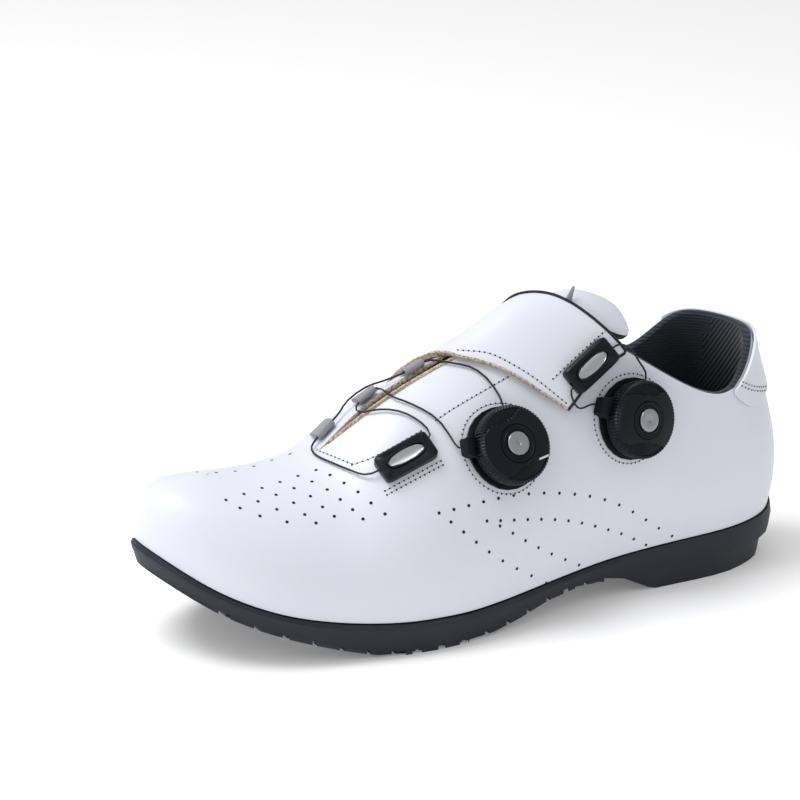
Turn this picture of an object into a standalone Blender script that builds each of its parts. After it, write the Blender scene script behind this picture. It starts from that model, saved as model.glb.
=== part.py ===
"""A low cycling shoe for the left foot, with a lugged rubber sole, a thin hollow upper,
an instep strap and two lace dials. Metres, +Z up, toe towards -X, outer side towards -Y."""

import functools
import math

import bmesh
import bpy
import numpy as np

# Driving sizes of the last
LENGTH = 0.288
BALL_WIDTH = 0.098
INSTEP_HEIGHT = 0.113
HEEL_STACK = 0.021
ARCH_RISE = 0.010
TOE_SPRING = 0.032

# Walls, layers and clearances
GAP = 0.0003
WALL = 0.002
COLLAR_WALL = 0.0045
UPPER_INSET = 0.001
INSOLE_THICKNESS = 0.004
TONGUE_THICKNESS = 0.0045
STRAP_THICKNESS = 0.0018
TAB_THICKNESS = 0.0012

# The sole's relief
LUG_DEPTH = 0.0018
FIELD_DEPTH = 0.0010
RIM_WIDTH = 0.0025
LUG_PITCH = 0.0105
LUG_GROOVE = 0.0018
GROOVE_WIDTH = 0.0010
GROOVE_DEPTH = 0.0010

# Stations run from 0 at the back of the heel to 1 at the tip of the toe, as shares of LENGTH.
# Half widths of the sole, as shares of BALL_WIDTH.
OUTLINE = (
    # station, outer, inner
    (0.00, 0.000, 0.000),
    (0.03, 0.225, 0.220),
    (0.10, 0.320, 0.315),
    (0.18, 0.345, 0.330),
    (0.32, 0.365, 0.270),
    (0.44, 0.430, 0.250),
    (0.56, 0.500, 0.360),
    (0.66, 0.520, 0.470),
    (0.76, 0.475, 0.490),
    (0.86, 0.395, 0.420),
    (0.94, 0.255, 0.315),
    (1.00, -0.065, 0.065),
)
# The sole's side profile: shares of ARCH_RISE, TOE_SPRING and HEEL_STACK.
PROFILE = (
    # station, arch, spring, stack, lug
    (0.00, 0.00, 0.08, 1.08, 0.0),
    (0.05, 0.00, 0.00, 1.02, 0.0),
    (0.12, 0.00, 0.00, 0.95, 0.0),
    (0.250, 0.00, 0.00, 0.89, 0.0),
    (0.278, 0.26, 0.00, 0.757, 0.3),
    (0.33, 0.78, 0.00, 0.475, 1.0),
    (0.375, 0.92, 0.00, 0.385, 1.0),
    (0.42, 0.88, 0.00, 0.36, 1.0),
    (0.52, 0.30, 0.00, 0.54, 1.0),
    (0.60, 0.00, 0.00, 0.62, 1.0),
    (0.69, 0.00, 0.00, 0.64, 1.0),
    (0.74, 0.00, 0.055, 0.615, 1.0),
    (0.80, 0.00, 0.195, 0.51, 1.0),
    (0.86, 0.00, 0.36, 0.445, 1.0),
    (0.93, 0.00, 0.62, 0.42, 1.0),
    (1.00, 0.00, 1.00, 0.45, 0.6),
)
# The upper's top edge: where it lies along the shoe, its half widths, its heights as shares of
# INSTEP_HEIGHT, how high a foot would crown between its two sides, and where its crest runs.
TOP_EDGE = (
    # station, edge, outer, inner, outer height, inner height, crown, crest
    (0.00, 0.050, 0.000, 0.000, 0.880, 0.880, 0.000, 0.0000),
    (0.03, 0.067, 0.160, 0.165, 0.850, 0.880, 0.000, 0.0025),
    (0.08, 0.101, 0.250, 0.245, 0.755, 0.875, 0.000, -0.0025),
    (0.14, 0.140, 0.280, 0.275, 0.695, 0.815, 0.000, -0.0025),
    (0.20, 0.192, 0.285, 0.275, 0.735, 0.745, 0.200, -0.0050),
    (0.28, 0.270, 0.265, 0.250, 0.855, 0.830, 0.180, -0.0075),
    (0.35, 0.340, 0.215, 0.190, 0.965, 0.950, 0.140, -0.0050),
    (0.43, 0.420, 0.105, 0.085, 1.015, 1.035, 0.038, 0.0175),
    (0.51, 0.500, 0.060, 0.020, 0.950, 0.964, 0.010, 0.0350),
    (0.60, 0.592, 0.035, 0.002, 0.850, 0.862, 0.003, 0.0425),
    (0.69, 0.680, 0.010, 0.030, 0.725, 0.732, 0.002, 0.0425),
    (0.75, 0.735, -0.030, 0.030, 0.613, 0.613, 0.000, 0.0300),
    (0.81, 0.780, -0.035, 0.035, 0.577, 0.577, 0.000, 0.0350),
    (0.88, 0.825, -0.045, 0.045, 0.570, 0.570, 0.000, 0.0450),
    (0.95, 0.870, -0.055, 0.055, 0.577, 0.577, 0.000, 0.0550),
    (1.00, 0.897, -0.060, 0.060, 0.586, 0.586, 0.000, 0.0600),
)
THROAT_FRONT = 0.75
# How the wall curves between the sole and the top edge. bulge, reach and drop are shares of
# BALL_WIDTH, rise is a share of the wall's height. The reach starts at the top edge by the
# collar, and at the ridge of the foot from REACH_FROM_RIDGE on.
WALL_CURVE = (
    # station, bulge, rise, reach, drop
    (0.00, 0.070, 0.40, 0.045, 0.240),
    (0.06, 0.065, 0.40, 0.040, 0.230),
    (0.14, 0.055, 0.42, 0.035, 0.200),
    (0.22, 0.050, 0.42, 0.040, 0.220),
    (0.30, 0.050, 0.42, 0.090, 0.290),
    (0.36, 0.050, 0.42, 0.150, 0.300),
    (0.44, 0.045, 0.42, 0.210, 0.210),
    (0.54, 0.040, 0.44, 0.330, 0.150),
    (0.64, 0.035, 0.46, 0.335, 0.100),
    (0.74, 0.030, 0.48, 0.320, 0.020),
    (0.84, 0.025, 0.56, 0.285, 0.000),
    (0.93, 0.028, 0.72, 0.262, 0.000),
    (1.00, 0.032, 0.86, 0.255, 0.000),
)
REACH_FROM_EDGE = 0.42
REACH_FROM_RIDGE = 0.54
RIDGE = 0.030

COLUMNS = 64
UPPER_ROWS = 8


def column(table, index):
    """One named column of a table, as an array."""
    return np.array([row[index] for row in table], float)


def station_angle(station):
    """The angle round the last of a station: 0 at the heel, pi at the tip of the toe."""
    return np.arccos(np.clip(1 - 2 * np.asarray(station, float), -1, 1))


def monotone(xs, ys, x):
    """A smooth curve through the rows of a table, with no overshoot between them."""
    steps = np.diff(xs)
    slopes = np.diff(ys) / steps
    tangents = np.zeros(len(xs))
    for i in range(1, len(xs) - 1):
        if slopes[i - 1] * slopes[i] > 0:
            before = 2 * steps[i] + steps[i - 1]
            after = steps[i] + 2 * steps[i - 1]
            tangents[i] = (before + after) / (before / slopes[i - 1] + after / slopes[i])
    tangents[0], tangents[-1] = slopes[0], slopes[-1]
    i = np.clip(np.searchsorted(xs, x, side="right") - 1, 0, len(steps) - 1)
    s = (x - xs[i]) / steps[i]
    rise = ys[i + 1] - ys[i]
    start = tangents[i] * steps[i]
    end = tangents[i + 1] * steps[i]
    return ys[i] + s * start + s**2 * (3 * rise - 2 * start - end) + s**3 * (start + end - 2 * rise)


def fair_loop(stations, outer, inner):
    """A closed curve, smooth to its curvature, through the outer side's rows and back through
    the inner side's. It is a function of the angle round the last."""
    angles = station_angle(stations)
    xs = np.concatenate([angles, 2 * math.pi - angles[-2:0:-1]])
    ys = np.concatenate([outer, inner[-2:0:-1]])
    count = len(xs)
    steps = np.diff(np.append(xs, xs[0] + 2 * math.pi))
    rises = np.diff(np.append(ys, ys[0])) / steps
    matrix = np.zeros((count, count))
    for i in range(count):
        matrix[i, i - 1] = steps[i - 1]
        matrix[i, i] = 2 * (steps[i - 1] + steps[i])
        matrix[i, (i + 1) % count] = steps[i]
    bends = np.linalg.solve(matrix, 6 * (rises - np.roll(rises, 1)))

    def value(angle):
        angle = np.mod(angle, 2 * math.pi)
        i = np.clip(np.searchsorted(xs, angle, side="right") - 1, 0, count - 1)
        j = (i + 1) % count
        step = steps[i]
        low = (xs[i] + step - angle) / step
        high = (angle - xs[i]) / step
        return (
            low * ys[i]
            + high * ys[j]
            + ((low**3 - low) * bends[i] + (high**3 - high) * bends[j]) * step**2 / 6
        )

    return value


outline_y = fair_loop(column(OUTLINE, 0), -column(OUTLINE, 1), column(OUTLINE, 2))
edge_station = fair_loop(column(TOP_EDGE, 0), column(TOP_EDGE, 1), column(TOP_EDGE, 1))
edge_y = fair_loop(column(TOP_EDGE, 0), -column(TOP_EDGE, 2), column(TOP_EDGE, 3))
edge_z = fair_loop(column(TOP_EDGE, 0), column(TOP_EDGE, 4), column(TOP_EDGE, 5))
crest_y = fair_loop(column(TOP_EDGE, 0), column(TOP_EDGE, 7), column(TOP_EDGE, 7))
wall_bulge, wall_rise, wall_reach, wall_drop = (
    fair_loop(column(WALL_CURVE, 0), column(WALL_CURVE, i), column(WALL_CURVE, i))
    for i in (1, 2, 3, 4)
)


def station_of(angle):
    return (1 - np.cos(angle)) / 2


def x_of(station):
    return LENGTH * (0.5 - station)


def sole_bottom(station):
    """Height of the ground side of the lugs."""
    xs = column(PROFILE, 0)
    arch = monotone(xs, column(PROFILE, 1), station)
    spring = monotone(xs, column(PROFILE, 2), station)
    return ARCH_RISE * arch + TOE_SPRING * spring


def sole_band(station):
    """Height of the bottom edge of the smooth side band, above which the lugs start."""
    return sole_bottom(station) + LUG_DEPTH * monotone(column(PROFILE, 0), column(PROFILE, 4), station)


def sole_top(station):
    return sole_bottom(station) + HEEL_STACK * monotone(column(PROFILE, 0), column(PROFILE, 3), station)


def outline_point(angle, inset=0.0):
    """A point of the sole's outline in plan, moved inwards by inset, and the outward normal."""
    point = np.array([x_of(station_of(angle)), BALL_WIDTH * outline_y(angle)])
    step = 1e-3
    ahead = np.array([x_of(station_of(angle + step)), BALL_WIDTH * outline_y(angle + step)])
    behind = np.array([x_of(station_of(angle - step)), BALL_WIDTH * outline_y(angle - step)])
    along = (ahead - behind) / np.linalg.norm(ahead - behind)
    normal = np.array([-along[1], along[0]])
    return point - normal * inset, normal


def upper_curve(angle):
    """The four control points of the wall at one angle, from the sole's edge to the top edge."""
    station = station_of(angle)
    foot, normal = outline_point(angle, UPPER_INSET)
    low = np.array([foot[0], foot[1], sole_top(station) + GAP])
    seam = min(angle, 2 * math.pi - angle) if station >= THROAT_FRONT - 1e-6 else angle
    high = np.array(
        [x_of(edge_station(seam)), BALL_WIDTH * edge_y(seam), INSTEP_HEIGHT * edge_z(seam)]
    )
    away = low[:2] - high[:2]
    away /= max(np.linalg.norm(away), 1e-9)
    outward = np.array([normal[0], normal[1], 0.0])
    rise = wall_rise(angle) * (high[2] - low[2])
    first = low + outward * BALL_WIDTH * wall_bulge(angle) + np.array([0, 0, rise])
    to_ridge = blend(REACH_FROM_EDGE, REACH_FROM_RIDGE, station)
    start = high[:2].copy()
    if station < THROAT_FRONT:
        start[1] += (BALL_WIDTH * RIDGE - start[1]) * to_ridge
    start += away * BALL_WIDTH * wall_reach(angle)
    second = np.array([start[0], start[1], high[2] - BALL_WIDTH * wall_drop(angle)])
    return low, first, second, high


def wall_point(angle, height):
    """A point of the upper's outer face. height runs from 0 at the sole to 1 at the top edge."""
    low, first, second, high = upper_curve(angle)
    rest = 1 - height
    return (
        rest**3 * low
        + 3 * rest**2 * height * first
        + 3 * rest * height**2 * second
        + height**3 * high
    )


def wall_normal(angle, height):
    """The outward normal of the upper's outer face."""
    step = 0.01
    up = wall_point(angle, min(height + step, 1)) - wall_point(angle, max(height - step, 0))
    along = wall_point(angle + step, height) - wall_point(angle - step, height)
    normal = np.cross(up, along)
    return normal / max(np.linalg.norm(normal), 1e-12)


def loop_angles(extra=()):
    """Angles round the last, even but for extra stations, the same on both sides."""
    half = set(np.round(np.linspace(0, math.pi, COLUMNS // 2 + 1), 6))
    for station in extra:
        half.add(round(float(station_angle(station)), 6))
    half = sorted(half)
    kept = [half[0]]
    wanted = {round(float(station_angle(station)), 6) for station in extra}
    for angle in half[1:]:
        if angle - kept[-1] > 0.03 or angle in wanted:
            kept.append(angle)
    kept[-1] = math.pi
    return np.array(kept + [2 * math.pi - angle for angle in kept[-2:0:-1]])


def material(name, color, roughness, metallic=0.0):
    made = bpy.data.materials.new(name)
    made.use_nodes = True
    shader = made.node_tree.nodes["Principled BSDF"]
    shader.inputs["Base Color"].default_value = (*color, 1)
    shader.inputs["Roughness"].default_value = roughness
    shader.inputs["Metallic"].default_value = metallic
    made.diffuse_color = (*color, 1)
    return made


def add_mesh(name, mesh, finish=None, collection=None):
    obj = bpy.data.objects.new(name, mesh)
    (collection or parts).objects.link(obj)
    if finish:
        mesh.materials.append(finish)
    return obj


def add_cutter(name, mesh):
    obj = add_mesh(name, mesh, collection=cutters)
    obj.hide_render = True
    obj.display_type = "WIRE"
    return obj


def boolean(obj, cutter, operation):
    modifier = obj.modifiers.new(cutter.name, "BOOLEAN")
    modifier.operation = operation
    modifier.solver = "EXACT"
    modifier.object = cutter


def ring_loft(name, rings, caps=True):
    """A closed body through rings with the same number of points. A cap joins the points that
    lie across from each other, as rungs of a ladder from heel to toe."""
    count = len(rings[0])
    points = [tuple(point) for ring in rings for point in ring]
    faces = []
    for r in range(len(rings) - 1):
        for i in range(count):
            j = (i + 1) % count
            faces.append((r * count + i, r * count + j, (r + 1) * count + j, (r + 1) * count + i))
    if caps:
        half = count // 2
        last = (len(rings) - 1) * count
        for i in range(half):
            rung = [i, i + 1, (count - i - 1) % count, (count - i) % count]
            rung = list(dict.fromkeys(rung))
            faces.append(tuple(reversed(rung)))
            faces.append(tuple(last + k for k in rung))
    mesh = bpy.data.meshes.new(name)
    mesh.from_pydata(points, [], faces)
    return outward(mesh)


def outward(mesh):
    """Turns a closed mesh's faces outwards."""
    form = bmesh.new()
    form.from_mesh(mesh)
    bmesh.ops.recalc_face_normals(form, faces=form.faces)
    if form.calc_volume(signed=True) < 0:
        bmesh.ops.reverse_faces(form, faces=form.faces)
    form.to_mesh(mesh)
    form.free()
    return mesh


def sole_ring(angles, inset, height):
    """A ring of the sole. inset and height are functions of the station."""
    ring = []
    for angle in angles:
        station = float(station_of(angle))
        point, _ = outline_point(angle, inset(station))
        ring.append((point[0], point[1], float(height(station))))
    return ring


def blend(start, end, x):
    """0 before start, 1 after end, smooth between."""
    s = min(max((x - start) / (end - start), 0.0), 1.0)
    return s * s * (3 - 2 * s)


def prism(name, corners, low, high):
    """An upright prism on an outline in plan, as a cutter."""
    rings = [[(x, y, z) for x, y in corners] for z in (low, high)]
    form = bmesh.new()
    low_ring = [form.verts.new(point) for point in rings[0]]
    high_ring = [form.verts.new(point) for point in rings[1]]
    form.faces.new(low_ring)
    form.faces.new(high_ring)
    for i in range(len(corners)):
        j = (i + 1) % len(corners)
        form.faces.new((low_ring[i], low_ring[j], high_ring[j], high_ring[i]))
    mesh = bpy.data.meshes.new(name)
    form.to_mesh(mesh)
    form.free()
    return outward(mesh)


def joined(name, meshes):
    """Several meshes that don't touch, as one."""
    form = bmesh.new()
    for mesh in meshes:
        form.from_mesh(mesh)
    mesh = bpy.data.meshes.new(name)
    form.to_mesh(mesh)
    form.free()
    return mesh


# The tread
HEEL_FRONT = 0.250
FIELD_START = 0.315
FIELD_END = 0.925
TOE_GRID_START = 0.835
HEEL_GROOVE = 0.0100
CUP_HALF_WIDTH = 0.011
CUP_START = 0.065
CUP_DEPTH = 0.008
CUP_MOUTH = 0.026
CUP_FLARE = 1.35
BAR_ROWS = (
    # station, outer, inner: the smooth bar under the waist, as shares of BALL_WIDTH
    (0.290, 0.150, 0.100),
    (0.360, 0.110, 0.070),
    (0.450, 0.085, 0.070),
    (0.560, 0.095, 0.080),
)


def lug_corners(x, y, square):
    """A lug in plan: a square at the toe, else a scale with one corner cut off."""
    half = (LUG_PITCH - LUG_GROOVE) / 2
    if square:
        return [(x - half, y - half), (x + half, y - half), (x + half, y + half), (x - half, y + half)]
    cut = half * 0.60
    return [
        (x - half, y - half),
        (x + half, y - half),
        (x + half, y + half - cut),
        (x + half - cut, y + half),
        (x - half, y + half),
    ]


def bar_half_width(station, index):
    return BALL_WIDTH * monotone(column(BAR_ROWS, 0), column(BAR_ROWS, index), station)


def in_bar(x, y):
    station = 0.5 - x / LENGTH
    if station > BAR_ROWS[-1][0] + LUG_PITCH / LENGTH * 0.5:
        return False
    margin = LUG_PITCH * 0.45
    return -bar_half_width(station, 1) - margin < y < bar_half_width(station, 2) + margin


def in_cover(x, y, margin):
    dx = abs(x - COVER_PLACE[0]) - margin
    dy = abs(y - COVER_PLACE[1]) - margin
    return dx < COVER_LENGTH / 2 and dy < COVER_WIDTH / 2


def tread():
    """The lugs, as tall prisms cut between the field's roof and the sole's ground side."""
    prisms = []
    top = TOE_SPRING + HEEL_STACK
    rows = int((FIELD_END - FIELD_START) * LENGTH / LUG_PITCH)
    half_count = int(BALL_WIDTH / 2 / LUG_PITCH) + 1
    for row in range(rows):
        x = x_of(FIELD_END) + (row + 0.5) * LUG_PITCH
        station = 0.5 - x / LENGTH
        for place in range(-half_count, half_count + 1):
            y = place * LUG_PITCH
            if in_bar(x, y) or in_cover(x, y, LUG_PITCH * 0.42):
                continue
            lug = lug_corners(x, y, station > TOE_GRID_START)
            prisms.append(prism("lug", lug, -LUG_PITCH, top))
    stations = np.linspace(BAR_ROWS[0][0], BAR_ROWS[-1][0], 6)
    outer = [(x_of(s), -bar_half_width(s, 1)) for s in stations]
    inner = [(x_of(s), bar_half_width(s, 2)) for s in stations]
    prisms.append(prism("bar", outer + inner[::-1], -LUG_PITCH, top))
    back, tip, side = x_of(FIELD_END + 0.006), x_of(1.05), BALL_WIDTH
    toe = [(tip, -side), (back, -side), (back, side), (tip, side)]
    prisms.append(prism("toe_bumper", toe, -LUG_PITCH, top))
    return joined("tread_lugs", prisms)


def groove(name, inset, angles):
    """A groove that follows the sole's outline, as a cutter."""
    grids = []
    for low in (True, False):
        grid = []
        for place in (inset, inset + GROOVE_WIDTH):
            line = []
            for angle in angles:
                point, _ = outline_point(angle, place)
                bottom = float(sole_bottom(station_of(angle)))
                line.append((point[0], point[1], bottom + (-GROOVE_DEPTH if low else GROOVE_DEPTH)))
            grid.append(line)
        grids.append(grid)
    return closed_grid(name, *grids)


def outsole():
    """The rubber sole: band, rim, recessed field with lugs, heel block and toe bumper."""
    angles = loop_angles((HEEL_FRONT, 0.264, 0.278, 0.905))

    def notch(station):
        return 1 - blend(0.05, 0.14, station)

    def band(share):
        return lambda s: sole_band(s) + share * (sole_top(s) - sole_band(s))

    def field_roof(station):
        recess = FIELD_DEPTH * blend(HEEL_FRONT, 0.278, station)
        return sole_band(station) + recess

    rings = [
        sole_ring(angles, lambda s: 0.0040, sole_top),
        sole_ring(angles, lambda s: 0.0003, sole_top),
        sole_ring(angles, lambda s: -0.0004, band(0.80)),
        sole_ring(angles, lambda s: 0.0002, band(0.52)),
        sole_ring(angles, lambda s: 0.0006 + 0.0026 * notch(s), band(0.44)),
        sole_ring(angles, lambda s: 0.0016 + 0.0026 * notch(s), band(0.0)),
        sole_ring(angles, lambda s: RIM_WIDTH + 0.0016 + 0.0026 * notch(s), band(0.0)),
        sole_ring(angles, lambda s: RIM_WIDTH + 0.0020 + 0.0026 * notch(s), field_roof),
    ]
    body = add_mesh("outsole", ring_loft("outsole", rings), rubber)

    field_angles = loop_angles()
    form_rings = [
        sole_ring(field_angles, lambda s: 0.0020, lambda s: sole_band(s) + FIELD_DEPTH + 0.0008),
        sole_ring(field_angles, lambda s: 0.0020, sole_bottom),
    ]
    lugs = add_cutter("tread_lugs", tread())
    form = add_cutter("tread_form", ring_loft("tread_form", form_rings))
    boolean(lugs, form, "INTERSECT")
    boolean(body, lugs, "UNION")

    cup = []
    for turn in np.linspace(-math.pi / 2, math.pi / 2, 9):
        cup.append(
            (
                x_of(CUP_START) - CUP_HALF_WIDTH + CUP_HALF_WIDTH * math.cos(turn),
                CUP_HALF_WIDTH * math.sin(turn),
            )
        )
    front = x_of(HEEL_FRONT) - CUP_MOUTH
    cup.append((front, CUP_HALF_WIDTH * CUP_FLARE))
    cup.append((front, -CUP_HALF_WIDTH * CUP_FLARE))
    cutter = add_cutter("heel_cup", prism("heel_cup", cup, -0.01, CUP_DEPTH))
    boolean(body, cutter, "DIFFERENCE")
    heel = float(station_angle(HEEL_FRONT - 0.012))
    channel = groove("heel_groove", HEEL_GROOVE, np.linspace(-heel, heel, 21))
    boolean(body, add_cutter("heel_groove", channel), "DIFFERENCE")
    return body


# The plastic cover over the cleat holes
COVER_STATION = 0.685
COVER_LENGTH = 0.070
COVER_WIDTH = 0.056
COVER_PLACE = (x_of(COVER_STATION), 0.0)
COVER_ROUNDING = 0.45
COVER_RIM = 0.0022
COVER_RINGS = (
    # inset, height over the ground side of the lugs
    (0.0000, 0.0022),
    (0.0000, 0.0010),
    (0.0007, 0.0003),
    (0.0022, 0.0003),
    (0.0030, 0.0012),
)
STUDS = 4
STUD_RADIUS = 0.0055
STUD_TAPER = 0.0006
STUD_PITCH = 0.0132
STUD_CLEAR = 0.0001


def rounded(length, width, rounding, count):
    """A rounded four-sided outline about the origin, symmetrical about its long axis."""
    points = []
    for turn in np.arange(count) * 2 * math.pi / count:
        c, s = math.cos(turn), math.sin(turn)
        u = length / 2 * math.copysign(abs(c) ** rounding, c)
        v = width / 2 * math.copysign(abs(s) ** rounding, s)
        points.append((u, v))
    return points


def cleat_cover():
    """The grey plate in the forefoot, with a raised rim and rows of round studs."""
    rings = []
    for inset, height in COVER_RINGS:
        ring = []
        for u, v in rounded(COVER_LENGTH - 2 * inset, COVER_WIDTH - 2 * inset, COVER_ROUNDING, 36):
            x = COVER_PLACE[0] - u
            ring.append((x, COVER_PLACE[1] + v, float(sole_bottom(0.5 - x / LENGTH)) + height))
        rings.append(ring)
    body = add_mesh("cleat_cover", ring_loft("cleat_cover", rings), grey)
    studs = []
    for row in range(STUDS):
        for place in range(STUDS):
            x = COVER_PLACE[0] + (row - (STUDS - 1) / 2) * STUD_PITCH * 1.06
            y = COVER_PLACE[1] + (place - (STUDS - 1) / 2) * STUD_PITCH * 0.90
            rings = []
            for radius, height in ((STUD_RADIUS, 0.0020), (STUD_RADIUS - STUD_TAPER, STUD_CLEAR)):
                turns = np.arange(10) * math.pi / 5
                rings.append([(x + radius * math.cos(t), y + radius * math.sin(t), 0) for t in turns])
                ring = [(a, b, float(sole_bottom(0.5 - a / LENGTH)) + height) for a, b, _ in rings[-1]]
                rings[-1] = ring
            studs.append(ring_loft("stud", rings))
    boolean(body, add_cutter("cover_studs", joined("cover_studs", studs)), "UNION")
    return body


def insole():
    angles = loop_angles()
    inset = UPPER_INSET + WALL + 0.002
    rings = [
        sole_ring(angles, lambda s: inset, lambda s: sole_top(s) + GAP),
        sole_ring(angles, lambda s: inset, lambda s: sole_top(s) + GAP + INSOLE_THICKNESS),
    ]
    return add_mesh("insole", ring_loft("insole", rings), lining)


def upper():
    """The hollow upper, open along the collar and throat and underneath."""
    angles = loop_angles((THROAT_FRONT,))
    count = len(angles)
    heights = np.linspace(0, 1, UPPER_ROWS + 1)
    points = [tuple(wall_point(angle, height)) for height in heights for angle in angles]
    faces = []
    for r in range(UPPER_ROWS):
        for i in range(count):
            j = (i + 1) % count
            faces.append((r * count + i, r * count + j, (r + 1) * count + j, (r + 1) * count + i))
    mesh = bpy.data.meshes.new("upper")
    mesh.from_pydata(points, [], faces)
    obj = add_mesh("upper", mesh, white)
    padding = obj.vertex_groups.new(name="padding")
    for r, height in enumerate(heights):
        for i, angle in enumerate(angles):
            weight = (1 - blend(0.28, 0.36, station_of(angle))) * blend(0.55, 0.85, height)
            padding.add([r * count + i], weight, "REPLACE")
    form = bmesh.new()
    form.from_mesh(mesh)
    bmesh.ops.remove_doubles(form, verts=form.verts, dist=1e-6)
    bmesh.ops.recalc_face_normals(form, faces=form.faces)
    side = max(form.faces, key=lambda face: -face.calc_center_median().y)
    if side.normal.y > 0:
        bmesh.ops.reverse_faces(form, faces=form.faces)
    form.to_mesh(mesh)
    form.free()
    shell = obj.modifiers.new("Wall", "SOLIDIFY")
    shell.thickness = COLLAR_WALL
    shell.offset = -1
    shell.vertex_group = "padding"
    shell.thickness_vertex_group = WALL / COLLAR_WALL
    shell.use_even_offset = True
    return obj


@functools.cache
def over_section(angle, lowest=0.35):
    """Points across the foot at one angle, up the outer wall, over the throat and down the inner,
    with how far each lies along the section from the crest."""
    heights = np.linspace(lowest, 1, 22)
    outer = [wall_point(angle, h) for h in heights]
    inner = [wall_point(2 * math.pi - angle, h) for h in heights[::-1]]
    stations = column(TOP_EDGE, 0)
    crown = INSTEP_HEIGHT * monotone(stations, column(TOP_EDGE, 6), float(station_of(angle)))
    bridge = []
    for s in np.linspace(0, 1, 9)[1:-1]:
        point = outer[-1] * (1 - s) + inner[0] * s
        bridge.append(point + np.array([0, 0, crown * 4 * s * (1 - s)]))
    points = np.array(outer + bridge + inner)
    lengths = np.concatenate([[0], np.cumsum(np.linalg.norm(np.diff(points, axis=0), axis=1))])
    return points, lengths - np.interp(BALL_WIDTH * crest_y(angle), points[:, 1], lengths)


def over_point(station, across, offset=0.0):
    """A point over the top of the foot. across runs from the crest towards the outer side."""
    angle = float(station_angle(station))
    points, lengths = over_section(angle)
    here = -across
    reach = 0.005
    blend = 0.0011

    def at(length):
        return np.array([np.interp(length, lengths, points[:, k]) for k in range(3)])

    point = (at(here - blend) + 2 * at(here) + at(here + blend)) / 4
    tangent = at(here + reach) - at(here - reach)
    ahead, ahead_lengths = over_section(float(station_angle(station + 0.01)))
    along = np.array([np.interp(here, ahead_lengths, ahead[:, k]) for k in range(3)]) - at(here)
    normal = np.cross(along, tangent)
    normal /= max(np.linalg.norm(normal), 1e-12)
    if normal[2] < 0:
        normal = -normal
    return point + normal * offset


def closed_grid(name, low, high):
    """A closed body between two grids of points."""
    long, wide = len(low), len(low[0])
    points = [p for grid in (low, high) for line in grid for p in line]
    size = long * wide
    faces = []
    for i in range(long - 1):
        for j in range(wide - 1):
            a = i * wide + j
            quad = (a, a + 1, a + wide + 1, a + wide)
            faces.append(quad[::-1])
            faces.append(tuple(size + k for k in quad))
    border = [j for j in range(wide)]
    border += [i * wide + wide - 1 for i in range(1, long)]
    border += [(long - 1) * wide + j for j in range(wide - 2, -1, -1)]
    border += [i * wide for i in range(long - 2, 0, -1)]
    for a, b in zip(border, border[1:] + border[:1]):
        faces.append((a, b, size + b, size + a))
    mesh = bpy.data.meshes.new(name)
    mesh.from_pydata(points, [], faces)
    return outward(mesh)


TONGUE_ROWS = (
    # station, half width as a share of BALL_WIDTH, dome
    (0.284, 0.165, 0.20),
    (0.289, 0.215, 0.45),
    (0.300, 0.238, 0.70),
    (0.326, 0.240, 0.75),
    (0.352, 0.205, 0.70),
    (0.378, 0.170, 0.50),
    (0.420, 0.165, 0.15),
    (0.500, 0.185, 0.00),
    (0.580, 0.190, 0.00),
    (0.660, 0.180, 0.00),
    (0.720, 0.150, 0.00),
    (0.750, 0.115, 0.00),
)
TONGUE_DROP = 0.0029
TONGUE_DOME = 0.0028


def tongue():
    """The tongue under the throat, with a padded dome at its top."""
    grids = []
    for thickness in (TONGUE_THICKNESS, 0.0):
        grid = []
        for station, half, dome in TONGUE_ROWS:
            line = []
            for share in np.linspace(-1, 1, 9):
                lift = -TONGUE_DROP + TONGUE_DOME * dome * (1 - share**2) - thickness
                line.append(tuple(over_point(station, -BALL_WIDTH * half * share, lift)))
            grid.append(line)
        grids.append(grid)
    return add_mesh("tongue", closed_grid("tongue", *grids), lining)


# The instep strap: a row for each section over the foot, from the inner side to the outer
STRAP_ROWS = (
    # rear station, rear across, front station, front across, bow, across and bow in mm
    (0.452, -50.0, 0.588, -50.0, 0.0),
    (0.452, -38.0, 0.588, -38.0, 0.0),
    (0.449, -24.0, 0.585, -24.0, 0.0),
    (0.440, -10.0, 0.576, -9.0, 0.0),
    (0.425, -1.0, 0.568, 2.0, 0.0),
    (0.403, 5.5, 0.550, 10.0, 0.0),
    (0.385, 11.6, 0.525, 17.5, 0.0),
    (0.370, 17.0, 0.500, 25.0, 0.0),
    (0.354, 22.5, 0.478, 32.5, 0.0),
    (0.338, 27.5, 0.455, 41.0, 0.2),
    (0.326, 31.0, 0.432, 48.0, 0.4),
    (0.322, 33.0, 0.420, 52.0, 0.6),
)
MM = 0.001
STRAP_COLUMNS = 9
STRAP_SECTIONS = 20
STRAP_GAP = GAP + 0.0003
STRAP_TOP = STRAP_GAP + STRAP_THICKNESS


def instep_strap():
    """The broad strap from the inner quarter over the instep to the upper dial."""
    spread = np.linspace(0, 1, len(STRAP_ROWS))
    shares = np.linspace(0, 1, STRAP_SECTIONS)
    sides = [monotone(spread, column(STRAP_ROWS, i), shares) for i in range(5)]
    grids = []
    for lift in (STRAP_GAP, STRAP_TOP):
        grid = []
        for rear, rear_across, front, front_across, bow in zip(*sides):
            line = []
            for t in np.linspace(0, 1, STRAP_COLUMNS + 1):
                across = rear_across * (1 - t) + front_across * t + bow * 4 * t * (1 - t)
                line.append(tuple(over_point(rear * (1 - t) + front * t, across * MM, lift)))
            grid.append(line)
        grids.append(grid)
    return add_mesh("instep_strap", closed_grid("instep_strap", *grids), white)


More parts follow.
